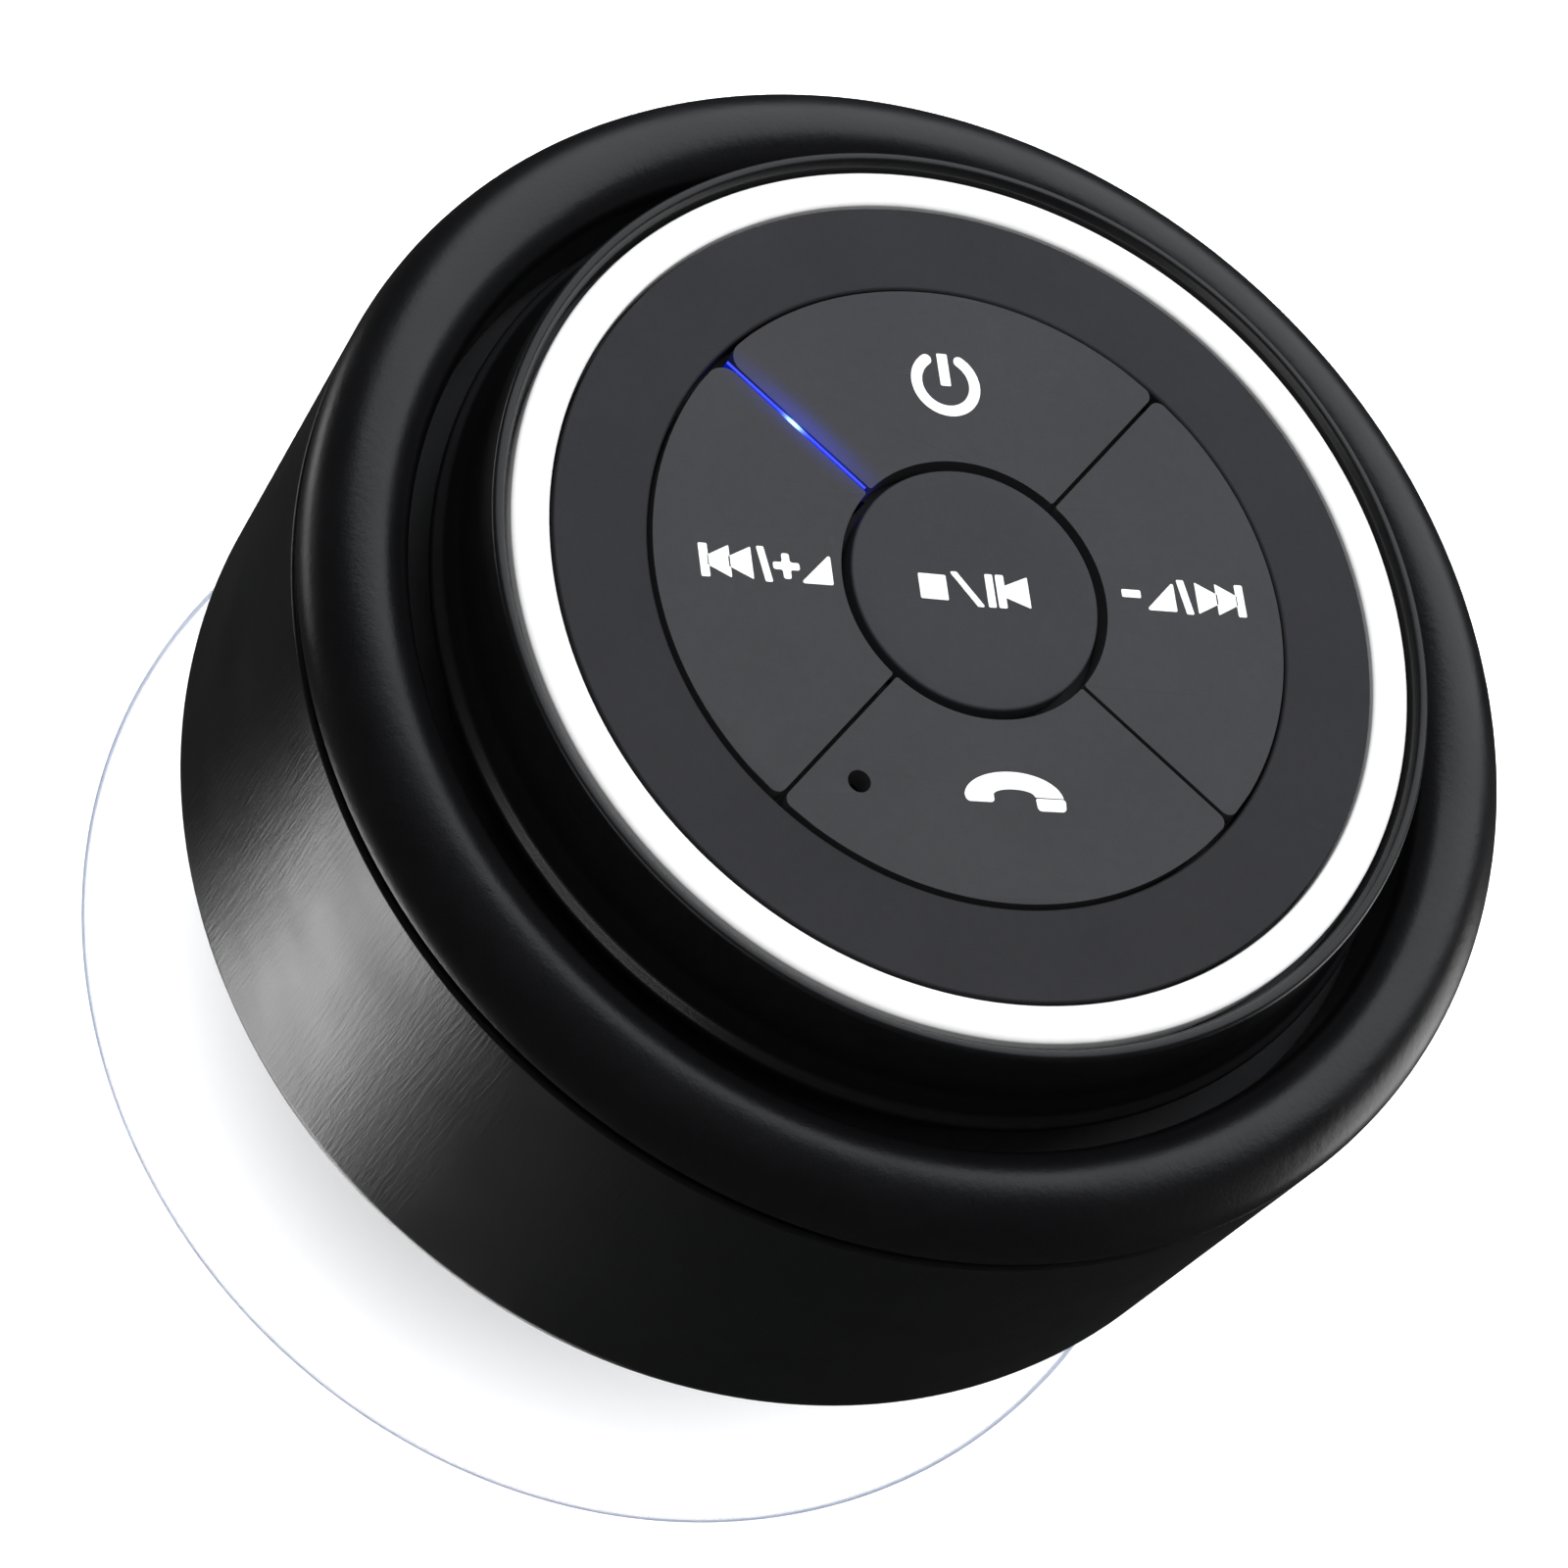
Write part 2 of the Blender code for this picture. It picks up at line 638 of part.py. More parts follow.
def switch_spots():
    """Where each key's switch stands: under the key's stem."""
    spots = {key.replace("_key", ""): polar(SECTOR_STEM_R, at) for key, at in SECTOR_KEYS.items()}
    spots["play"] = (0, 0)
    return spots


def turned_rectangle(center, length, width, degrees):
    """The corners of a rectangle whose long side points this way."""
    along = Vector(polar(length / 2, degrees))
    across = Vector(polar(width / 2, degrees + 90))
    signs = ((-1, -1), (1, -1), (1, 1), (-1, 1))
    return [tuple(Vector(center) + along * a + across * b) for a, b in signs]


def make_key_electronics():
    board_top = BOARD_Z + BOARD_THICK
    board_r = 27.0
    plate("key_board", [circle(board_r)], BOARD_Z, board_top, CIRCUIT_GREEN)
    seal = [circle(board_r + 0.1)]
    seal += [circle(KEY_STEM_R + 0.5, 16, spot) for spot in switch_spots().values()]
    seal.append(circle(MIC_HOLE_R, 10, polar(MIC_R, MIC_ANGLE)))
    light_middle = polar((LIGHT_INNER_R + LIGHT_OUTER_R) / 2, LIGHT_ANGLE)
    light_length = LIGHT_OUTER_R - LIGHT_INNER_R
    seal.append(turned_rectangle(light_middle, light_length + 1.0, 2.0, LIGHT_ANGLE))
    plate("key_seal", seal, SEAL_Z, SEAL_Z + SEAL_THICK, SILICONE)

    low = board_top + GAP
    top = low + SWITCH_HEIGHT
    for name, spot in switch_spots().items():
        size = (SWITCH_SIDE, SWITCH_SIDE, SWITCH_HEIGHT)
        body = box(f"{name}_switch", size, (*spot, (low + top) / 2), CHIP_BLACK)
        well = helper_disc(f"{name}_well", PLUNGER_R + 0.3, top - 0.9, top + 1, spot)
        boolean(body, well, "DIFFERENCE")
        plunger_top = KEY_STEM_TIP_Z - GAP
        disc(f"{name}_plunger", PLUNGER_R, top - 0.3, plunger_top, LED_WHITE, place=spot)
    disc("microphone", 2.0, low, low + 1.5, STEEL, place=polar(MIC_R, MIC_ANGLE))


def make_light():
    """A clear blade stands in the gap between two keys, over a flat LED."""
    length = LIGHT_OUTER_R - LIGHT_INNER_R
    spot = polar((LIGHT_INNER_R + LIGHT_OUTER_R) / 2, LIGHT_ANGLE)

    def strip(name, width, low, high, collection):
        size = (length, width, high - low)
        made = box(name, size, (*spot, (low + high) / 2), LIGHT_BLUE, collection)
        made.rotation_euler.z = math.radians(LIGHT_ANGLE)
        return made

    # The foot stays under the keys' lowest travel.
    foot_top = FACE_Z - KEY_THICK - KEY_TRAVEL - GAP
    pipe = strip("light_pipe", 1.2, foot_top - 1.8, foot_top, PARTS)
    blade = strip("light_blade", LIGHT_BLADE, foot_top - 0.3, FACE_Z - 0.05, CUTTERS)
    boolean(pipe, blade, "UNION")
    led_low = BOARD_Z + BOARD_THICK + GAP
    led_height = 0.8
    led = box("status_led", (1.6, 0.9, led_height), (*spot, led_low + led_height / 2), LED_WHITE)
    led.rotation_euler.z = math.radians(LIGHT_ANGLE)


# ---------------------------------------------------------------------------------------------
# Loudspeaker
# ---------------------------------------------------------------------------------------------


def make_basket():
    flange_high = BAFFLE_Z - GAP
    foot_low, foot_high = 36.0, 37.0
    wall_foot_r = 16.0
    basket = [
        (DRIVER_FLANGE_R, flange_high),
        (DRIVER_FLANGE_R, DRIVER_FLANGE_LOW),
        (22.8, DRIVER_FLANGE_LOW),
        (wall_foot_r, foot_high + 0.4),
        (wall_foot_r, foot_low),
        (7.6, foot_low),
        (7.6, foot_high),
        (wall_foot_r - 0.9, foot_high),
        (wall_foot_r - 0.9, foot_high + 0.8),
        (21.6, flange_high),
    ]
    body = turned("driver_basket", basket, STEEL)
    for number, angle in enumerate(SCREW_ANGLES, 1):
        spot = polar(DRIVER_SCREW_CIRCLE, angle + 45)
        hole = helper_disc(f"flange_hole_{number}", 0.95, 44, 48, spot)
        boolean(body, hole, "DIFFERENCE")


def make_motor():
    """Yoke, magnet and top plate, with the voice coil in the gap between plate and pole."""
    pole_r, pole_top = 5.9, 35.7
    yoke_r, yoke_low, yoke_high = 15.0, 27.2, 29.3
    magnet_low, magnet_high = yoke_high + GAP, 33.6
    ring("driver_top_plate", 7.3, 15.0, magnet_high + GAP, pole_top, STEEL)
    ring("driver_magnet", 8.6, 15.6, magnet_low, magnet_high, FERRITE)
    yoke = [
        (0, pole_top),
        (pole_r, pole_top),
        (pole_r, yoke_high),
        (yoke_r - 0.4, yoke_high),
        (yoke_r, yoke_high - 0.4),
        (yoke_r, yoke_low),
        (0, yoke_low),
    ]
    turned("driver_yoke", yoke, STEEL)
    ring("voice_coil", COIL_INNER_R, COIL_OUTER_R, 31.6, 39.8, COPPER)


def make_diaphragm():
    """The cone with its dust cap, the corrugated spider under it and the surround at its edge."""
    inner_r, outer_r = 7.5, 14.7
    waves, middle_z, wave_height, cloth = 3, 38.75, 0.35, 0.35
    count = 4 * waves + 1
    top = []
    for i in range(count):
        share = i / (count - 1)
        height = middle_z + wave_height * math.sin(2 * math.pi * waves * share)
        top.append((inner_r + (outer_r - inner_r) * share, height))
    under = [(radius, height - cloth) for radius, height in reversed(top)]
    turned("spider", top + under, SPIDER_CLOTH)

    neck_z, edge_z, paper = 40.6, 46.0, 0.5
    cone = [(7.3, neck_z), (8.0, neck_z), (CONE_R, edge_z), (CONE_R, edge_z + paper)]
    cone += [(7.8, neck_z + paper), (7.3, neck_z + paper)]
    turned("cone", cone, PAPER_CONE)
    cap = (0, neck_z + 0.8)
    cap_r, cap_height, cap_wall = 7.6, 2.6, 0.4
    cap_top = ellipse_arc(cap, (cap_r, cap_height), 90, 0, 5)
    cap_under = ellipse_arc(cap, (cap_r - cap_wall, cap_height - cap_wall), 0, 90, 5)
    cap_top[0] = (0, cap[1] + cap_height)
    cap_under[-1] = (0, cap[1] + cap_height - cap_wall)
    turned("dust_cap", cap_top + cap_under, PAPER_CONE)
    roll = (22.05, 46.6)
    roll_top = ellipse_arc(roll, (1.45, 1.8), 0, 180, 7)
    roll_under = ellipse_arc(roll, (1.1, 1.45), 180, 0, 7)
    turned("surround", roll_top + roll_under, SILICONE)


# ---------------------------------------------------------------------------------------------
# Power and main electronics
# ---------------------------------------------------------------------------------------------


def make_electronics():
    box("battery", (20, 28, 6.0), (-27.5, 0, 28.7), FOIL, edge=1.0)
    board_thick, board_top = 1.2, 32.4
    box("main_board", (17, 26, board_thick), (29.0, 0, board_top - board_thick / 2), CIRCUIT_GREEN)
    on_board = {
        "usb_socket": ((5.6, 7.6, 2.9), (37.0, 0), STEEL, 0.5),
        "bluetooth_module": ((9, 10, 1.4), (27.0, -7.2), CHIP_BLACK, 0),
        "amplifier_chip": ((5, 5, 1.2), (26.0, 7.0), CHIP_BLACK, 0),
    }
    for name, (size, spot, finish, edge) in on_board.items():
        box(name, size, (*spot, board_top + GAP + size[2] / 2), finish, edge=edge)
    ring("threaded_insert", 2.85, INSERT_BORE_R - 0.5, BACK_Z + 0.5, INSERT_BOSS_TOP - 0.4, BRASS)


make_suction_cup()
make_rear_housing()
make_port_plug()
make_fasteners()
make_front_ring()
make_front_baffle()
make_pod()
make_keys()
make_key_electronics()
make_light()
make_basket()
make_motor()
make_diaphragm()
make_electronics()
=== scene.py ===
"""Looks of the shower speaker: smooth skins, materials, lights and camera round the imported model.

The speaker's axis is Z, with its keys up, and +Y is towards the power key. Lengths here are in
millimetres, and MM turns them into metres where a mesh is made.
"""

import json
import math

import bmesh
import bpy
from mathutils import Matrix, Vector


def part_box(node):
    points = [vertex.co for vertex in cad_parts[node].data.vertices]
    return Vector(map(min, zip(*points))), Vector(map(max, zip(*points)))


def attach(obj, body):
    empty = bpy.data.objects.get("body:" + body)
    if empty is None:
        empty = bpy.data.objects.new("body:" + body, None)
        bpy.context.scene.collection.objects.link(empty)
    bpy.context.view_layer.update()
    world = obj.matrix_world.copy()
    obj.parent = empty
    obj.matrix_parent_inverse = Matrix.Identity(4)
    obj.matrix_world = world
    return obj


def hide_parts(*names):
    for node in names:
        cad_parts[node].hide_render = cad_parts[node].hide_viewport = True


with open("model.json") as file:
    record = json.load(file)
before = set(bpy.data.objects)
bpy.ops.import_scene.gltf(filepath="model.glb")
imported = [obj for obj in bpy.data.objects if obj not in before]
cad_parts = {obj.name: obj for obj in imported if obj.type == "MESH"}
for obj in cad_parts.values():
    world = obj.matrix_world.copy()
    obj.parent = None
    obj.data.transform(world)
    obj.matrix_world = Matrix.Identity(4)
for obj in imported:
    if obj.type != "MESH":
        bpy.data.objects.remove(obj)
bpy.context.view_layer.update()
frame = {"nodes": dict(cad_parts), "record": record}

MM = 0.001
GAP = 0.3  # clearance between neighbouring pieces


# ---------------------------------------------------------------------------------------------
# Sizes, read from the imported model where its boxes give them
# ---------------------------------------------------------------------------------------------


def node_size(node):
    """Outer radius, lowest and highest point of a round node, in millimetres."""
    low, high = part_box(node)
    return max(-low.x, high.x) / MM, low.z / MM, high.z / MM


def node_middle(node):
    """Middle of a node's box, in millimetres."""
    low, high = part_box(node)
    return (low + high) / 2 / MM


BODY_R, SPIGOT_Z, CROWN_Z = node_size("front_ring")
_, BACK_Z, DRUM_TOP = node_size("rear_housing")
CUP_R, _, CUP_NECK_TOP = node_size("suction_cup")
POD_LIP_R, POD_SKIRT_Z, POD_TOP = node_size("pod_shell")
TRIM_OUTER_R, INLAY_Z, TRIM_TOP = node_size("trim_ring")
FACE_OUTER_R, _, FACE_TOP = node_size("face_plate")
PLAY_KEY_R, STEM_TIP_Z, _ = node_size("play_key")
FACE_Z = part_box("power_key")[1].z / MM
KEYS_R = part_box("power_key")[1].y / MM
FLANGE_R, _, THREAD_TIP = node_size("cup_stud")
_, _, INSERT_TOP = node_size("threaded_insert")
PORT_Z = node_middle("port_plug").z

# Drum and front ring
WALL = 2.2
SEAM_Z = DRUM_TOP + 0.6  # lower edge of the front ring, over an open seam
CROWN_R = BODY_R - 4.1  # circle along the top of the front ring
SLOT_OUTER_R = 36.1  # outer wall of the sound slot
SCREW_ANGLES = (45, 135, 225, 315)
SCREW_CIRCLE = 34.0
SCREW_SEAT_Z = BACK_Z + 2.6
POCKET_WIDTH, POCKET_HEIGHT = 15.0, 9.0  # shallow pocket that the flap lies in
PORT_WIDTH, PORT_HEIGHT = 9.6, 3.9

# Pod and keys
POD_RIM_R = 33.0
TRIM_INNER_R = FACE_OUTER_R + 0.25
FACE_INNER_R = KEYS_R + 0.26
KEY_ANGLES = {"power_key": 90, "previous_key": 180, "next_key": 0, "call_key": -90}
KEY_LOW = FACE_Z - 1.9  # underside of the keys
KEY_SPLIT = 0.28  # gap between two keys
SECTOR_INNER_R = PLAY_KEY_R + 0.67
STEM_R = 1.9
STEM_CIRCLE = 15.2
PLAY_RIM_Z = FACE_Z + 0.02
DISH_R = 7.4  # dish in the top of the centre key
DISH_DEPTH = 0.18
MIC_SPOT = (17.6, -125.5)  # radius, and degrees from +X
MIC_R = 0.78

# Light line between the power key and the previous key
LIGHT_ANGLE = 135
LIGHT_SPLIT = 0.44
LIGHT_INNER_R = 9.7
LIGHT_OUTER_R = 21.9

ROUND = 256  # segments round the large skins


# ---------------------------------------------------------------------------------------------
# Materials
# ---------------------------------------------------------------------------------------------


COLOR_PAIR = (6, 7)  # sockets of a Mix node that take the two colours
COLOR_RESULT = 2


class Nodes:
    """A short way to write a material's node tree."""

    def __init__(self, name):
        self.material = bpy.data.materials.new(name)
        self.material.use_nodes = True
        self.tree = self.material.node_tree
        self.shader = self.tree.nodes["Principled BSDF"]
        self.place = self.add("ShaderNodeTexCoord").outputs["Object"]

    def add(self, kind, inputs=None, **settings):
        node = self.tree.nodes.new(kind)
        for key, value in settings.items():
            setattr(node, key, value)
        for socket, value in (inputs or {}).items():
            if isinstance(value, bpy.types.NodeSocket):
                self.tree.links.new(value, node.inputs[socket])
            else:
                node.inputs[socket].default_value = value
        return node

    def math(self, operation, *values):
        inputs = dict(enumerate(values))
        return self.add("ShaderNodeMath", inputs, operation=operation).outputs[0]

    def noise(self, size, detail=3.0, stretch=(1, 1, 1), rough=0.55):
        """Noise whose features are about this many millimetres across, before the stretch."""
        spread = self.add("ShaderNodeMapping", {"Vector": self.place, "Scale": stretch})
        inputs = {
            "Vector": spread.outputs[0],
            "Scale": 1 / (size * MM),
            "Detail": detail,
            "Roughness": rough,
        }
        return self.add("ShaderNodeTexNoise", inputs).outputs["Fac"]

    def between(self, value, low, high, from_low=0.3, from_high=0.7):
        """Stretches from_low..from_high to low..high, and holds it there."""
        inputs = {
            "Value": value,
            "From Min": from_low,
            "From Max": from_high,
            "To Min": low,
            "To Max": high,
        }
        return self.add("ShaderNodeMapRange", inputs).outputs[0]

    def blend(self, share, first, second):
        """Mixes two colours, each a socket or a tuple of three channels."""
        mix = self.add("ShaderNodeMix", {"Factor": share}, data_type="RGBA")
        for socket, color in zip(COLOR_PAIR, (first, second)):
            if isinstance(color, bpy.types.NodeSocket):
                self.tree.links.new(color, mix.inputs[socket])
            else:
                mix.inputs[socket].default_value = (*color, 1)
        return mix.outputs[COLOR_RESULT]

    def bump(self, height, depth, over=None):
        """Relief of this many millimetres, on top of another one if over is given."""
        inputs = {"Height": height, "Distance": depth * MM, "Strength": 1.0}
        if over is not None:
            inputs["Normal"] = over
        return self.add("ShaderNodeBump", inputs).outputs[0]

    def link(self, socket, value):
        if isinstance(value, bpy.types.NodeSocket):
            self.tree.links.new(value, self.shader.inputs[socket])
        else:
            self.shader.inputs[socket].default_value = value


def finish(name, color, roughness, grain, relief, stretch=(1, 1, 1), vary=0.14, **fixed):
    """A moulded, coated or metal surface: a fine grain of this size and relief in millimetres,
    with a slight drift in colour and gloss, and a few paler and duller scuffs."""
    nodes = Nodes(name)
    fine = nodes.noise(grain, detail=4.0, stretch=stretch)
    cloudy = nodes.noise(9.0, detail=2.0)
    specks = nodes.noise(grain * 5, detail=5.0, rough=0.7)
    darker = tuple(channel * (1 - vary) for channel in color)
    paler = tuple(min(1.0, channel * (1 + vary)) for channel in color)
    base = nodes.blend(nodes.between(specks, 0, 1), darker, paler)
    scuffs = nodes.between(nodes.noise(3.0, detail=6.0, rough=0.7), 0, 1, 0.60, 0.85)
    worn = tuple(min(1.0, channel * 1.25) for channel in color)
    nodes.link("Base Color", nodes.blend(scuffs, base, worn))
    gloss = nodes.between(cloudy, roughness - 0.04, roughness + 0.04)
    nodes.link("Roughness", nodes.math("ADD", gloss, nodes.math("MULTIPLY", scuffs, 0.03)))
    nodes.link("Normal", nodes.bump(fine, relief))
    for socket, value in fixed.items():
        nodes.link(socket.replace("_", " "), value)
    return nodes


BLACK = (0.0035, 0.0035, 0.0040)
FINISHES = {}


def plain_finishes():
    """Each slot's colour, roughness, and the size and relief of its grain."""
    FINISHES["pod_black"] = finish("pod_black", BLACK, 0.33, 0.20, 0.010)
    FINISHES["trim_white"] = finish("trim_white", (0.92, 0.92, 0.92), 0.35, 0.3, 0.002, vary=0.02)
    FINISHES["silicone_black"] = finish("silicone_black", (0.012, 0.012, 0.013), 0.6, 0.3, 0.01)
    FINISHES["inner_black"] = finish("inner_black", (0.010, 0.010, 0.011), 0.55, 0.3, 0.012)
    FINISHES["chip_black"] = finish("chip_black", (0.012, 0.012, 0.013), 0.5, 0.12, 0.008)
    FINISHES["ferrite"] = finish("ferrite", (0.03, 0.03, 0.034), 0.6, 0.2, 0.02)
    FINISHES["paper_cone"] = finish("paper_cone", (0.02, 0.019, 0.018), 0.85, 0.35, 0.03)
    FINISHES["spider_cloth"] = finish("spider_cloth", (0.40, 0.25, 0.09), 0.9, 0.35, 0.05)
    FINISHES["circuit_green"] = finish("circuit_green", (0.01, 0.10, 0.035), 0.35, 0.8, 0.01)
    FINISHES["led_white"] = finish("led_white", (0.80, 0.82, 0.86), 0.3, 0.4, 0.004)


def metal_finishes():
    along_z, round_z = (1, 1, 0.1), (0.1, 0.1, 1)
    metal = {"Metallic": 1.0}
    FINISHES["steel"] = finish("steel", (0.52, 0.52, 0.54), 0.32, 0.15, 0.004, along_z, **metal)
    FINISHES["brass"] = finish("brass", (0.70, 0.48, 0.18), 0.28, 0.15, 0.004, **metal)
    FINISHES["copper"] = finish("copper", (0.70, 0.30, 0.14), 0.34, 0.12, 0.02, round_z, **metal)
    FINISHES["battery_foil"] = finish("battery_foil", (0.60, 0.61, 0.64), 0.36, 1.5, 0.03, **metal)


def rubber_finish():
    """The soft coat has a leathery grain on the ring, and fine lines along the drum."""
    nodes = finish("rubber_coat", BLACK, 0.33, 0.20, 0.008)
    lines = nodes.noise(0.26, detail=3.0, stretch=(1, 1, 0.07), rough=0.6)
    folds = nodes.noise(0.55, detail=5.0, rough=0.62)
    height = nodes.add("ShaderNodeSeparateXYZ", {"Vector": nodes.place}).outputs["Z"]
    seam_middle = (SEAM_Z - 0.2) * MM
    on_ring = nodes.math("GREATER_THAN", height, seam_middle)
    inputs = {"Factor": on_ring, "A": lines, "B": folds}
    relief = nodes.add("ShaderNodeMix", inputs).outputs["Result"]
    grain = nodes.shader.inputs["Normal"].links[0].from_socket
    nodes.link("Normal", nodes.bump(relief, 0.022, over=grain))
    FINISHES["rubber_coat"] = nodes


def clear_finish():
    """Clear soft plastic: almost nothing shows but its edges, and its rim is the darkest."""
    nodes = finish("clear_pvc", (0.26, 0.32, 0.46), 0.12, 2.5, 0.01, vary=0.05)
    facing = nodes.add("ShaderNodeLayerWeight", {"Blend": 0.5}).outputs["Facing"]
    edge = nodes.between(nodes.math("POWER", facing, 6.0), 0.006, 0.80, 0.05, 0.6)
    spots = nodes.add("ShaderNodeSeparateXYZ", {"Vector": nodes.place}).outputs
    flat = nodes.add("ShaderNodeCombineXYZ", {"X": spots["X"], "Y": spots["Y"]}).outputs[0]
    radius = nodes.add("ShaderNodeVectorMath", {0: flat}, operation="LENGTH").outputs["Value"]
    outer = nodes.between(radius, 0, 1, (CUP_R - 0.5) * MM, (CUP_R - 0.2) * MM)
    lowest = nodes.between(spots["Z"], 1, 0, 0.25 * MM, 0.50 * MM)
    rim_alpha = 0.70
    rim = nodes.math("MULTIPLY", nodes.math("MULTIPLY", outer, lowest), rim_alpha)
    nodes.link("Alpha", nodes.math("MAXIMUM", rim, edge))
    nodes.link("IOR", 1.45)
    nodes.link("Specular IOR Level", 0.2)
    FINISHES["clear_pvc"] = nodes


def along_light(nodes):
    """Distance from the speaker's axis along the light line, and distance across the line.
    Both are in metres."""
    angle = math.radians(LIGHT_ANGLE)
    along = (math.cos(angle), math.sin(angle), 0)
    across = (-math.sin(angle), math.cos(angle), 0)
    found = []
    for way in (along, across):
        inputs = {0: nodes.place, 1: way}
        dot = nodes.add("ShaderNodeVectorMath", inputs, operation="DOT_PRODUCT")
        found.append(dot.outputs["Value"])
    return found


def bell(nodes, value, middle, width):
    """A soft peak of 1 at middle that falls away over width, both in millimetres."""
    away = nodes.math("DIVIDE", nodes.math("SUBTRACT", value, middle * MM), width * MM)
    squared = nodes.math("MULTIPLY", away, away)
    return nodes.math("POWER", math.e, nodes.math("MULTIPLY", squared, -1.0))


def light_finish():
    """A blue line with a small bright spot."""
    nodes = finish("light_blue", (0.01, 0.03, 0.50), 0.25, 0.3, 0.002)
    along, _ = along_light(nodes)
    spot = bell(nodes, along, middle=16.0, width=0.7)
    line = bell(nodes, along, middle=15.0, width=6.0)
    nodes.link("Emission Color", nodes.blend(spot, (0.0, 0.012, 0.8), (0.30, 0.60, 1.0)))
    line_strength, spot_strength = 1.1, 2.5
    line_glow = nodes.math("MULTIPLY", line, line_strength)
    spot_glow = nodes.math("MULTIPLY", spot, spot_strength)
    nodes.link("Emission Strength", nodes.math("ADD", line_glow, spot_glow))
    FINISHES["light_blue"] = nodes


def key_finish(name, color, roughness, painted_glow_strength):
    """Matt silicone, with a painted glow: next to the light line the key emits blue light that
    stands in for the light falling on it from the line, as strongly as the last argument says."""
    nodes = finish(name, color, roughness, 0.16, 0.012, vary=0.05)
    nodes.link("Specular IOR Level", 0.22)
    along, across = along_light(nodes)
    length = bell(nodes, along, middle=15.2, width=5.0)
    near = bell(nodes, across, middle=-0.35, width=0.95)
    # painted glow: blue emission on the key beside the light line, standing in for the line's light
    # cast onto it
    nodes.link("Emission Color", (0.02, 0.045, 0.80, 1))
    glow = nodes.math("MULTIPLY", length, near)
    nodes.link("Emission Strength", nodes.math("MULTIPLY", glow, painted_glow_strength))
    FINISHES[name] = nodes


def make_finishes():
    plain_finishes()
    metal_finishes()
    rubber_finish()
    clear_finish()
    light_finish()
    key_finish("face_grey", (0.0190, 0.0190, 0.0218), 0.6, 0.0)
    key_finish("key_grey", (0.0360, 0.0362, 0.0395), 0.55, 0.30)
    key_finish("play_grey", (0.0270, 0.0285, 0.0330), 0.45, 0.0)


# ---------------------------------------------------------------------------------------------
# Mesh helpers
# ---------------------------------------------------------------------------------------------


def polar(radius, degrees):
    """Point at this radius, and this many degrees from +X."""
    angle = math.radians(degrees)
    return (radius * math.cos(angle), radius * math.sin(angle))


def ellipse(center, radii, start, end, count):
    """Points of an ellipse's arc, in degrees, with both ends."""
    points = []
    for i in range(count):
        x, y = polar(1, start + (end - start) * i / (count - 1))
        points.append((center[0] + radii[0] * x, center[1] + radii[1] * y))
    return points


def arc(center, radius, start, end, count):
    return ellipse(center, (radius, radius), start, end, count)


def softened(points, steps=6):
    """Rounds a closed outline. A point is (x, y), or (x, y, radius of the corner)."""
    out = []
    for i, point in enumerate(points):
        here = Vector(point[:2])
        if len(point) == 2:
            out.append(tuple(here))
            continue
        neighbours = (points[i - 1], points[(i + 1) % len(points)])
        before, after = (Vector(neighbour[:2]) - here for neighbour in neighbours)
        half = before.angle(after) / 2
        reach = point[2] / math.tan(half)
        for side, neighbour in ((before, neighbours[0]), (after, neighbours[1])):
            share = 0.98 if len(neighbour) == 2 else 0.49  # of the side, for this corner
            reach = min(reach, share * side.length)
        before.normalize()
        after.normalize()
        center = here + (before + after).normalized() * (reach / math.cos(half))
        start = here + before * reach - center
        end = here + after * reach - center
        radius = start.length
        out += [tuple(center + radius * start.slerp(end, s / steps)) for s in range(steps + 1)]
    return out


def moved(outline, dx, dy, flip=False):
    """The outline, mirrored left to right if flip says so, and then moved."""
    sign = -1 if flip else 1
    return [(sign * x + dx, y + dy) for x, y in outline]


def cross_outline(reach, arm, degrees=0):
    """A cross with four arms of this reach and this half width."""
    corners = []
    for turn in range(4):
        spin = Matrix.Rotation(math.radians(90 * turn + degrees), 2)
        for corner in ((reach, -arm), (reach, arm), (arm, arm)):
            corners.append(tuple(spin @ Vector(corner)))
    return corners


def object_from(name, work):
    """An object of this bmesh, with its faces pointing out."""
    bmesh.ops.remove_doubles(work, verts=work.verts, dist=0.0000005)
    bmesh.ops.recalc_face_normals(work, faces=work.faces)
    mesh = bpy.data.meshes.new(name)
    work.to_mesh(mesh)
    work.free()
    made = bpy.data.objects.new(name, mesh)
    bpy.context.scene.collection.objects.link(made)
    return made


def lathe(name, profile, steps=ROUND, place=(0, 0)):
    """A turned skin. The profile is a closed outline of (radius, height) points."""
    section = softened(profile)
    work = bmesh.new()
    rings = []
    for i in range(steps):
        turn = 360 * i / steps
        spots = [(*polar(radius, turn), height) for radius, height in section]
        spots = [Vector((x + place[0], y + place[1], z)) * MM for x, y, z in spots]
        rings.append([work.verts.new(spot) for spot in spots])
    count = len(section)
    for i in range(steps):
        here, there = rings[i], rings[(i + 1) % steps]
        for j in range(count):
            k = (j + 1) % count
            if section[j][0] or section[k][0]:
                corners = [here[j], there[j], there[k], here[k]]
                if not section[j][0]:
                    corners.remove(there[j])
                elif not section[k][0]:
                    corners.remove(there[k])
                work.faces.new(corners)
    return object_from(name, work)


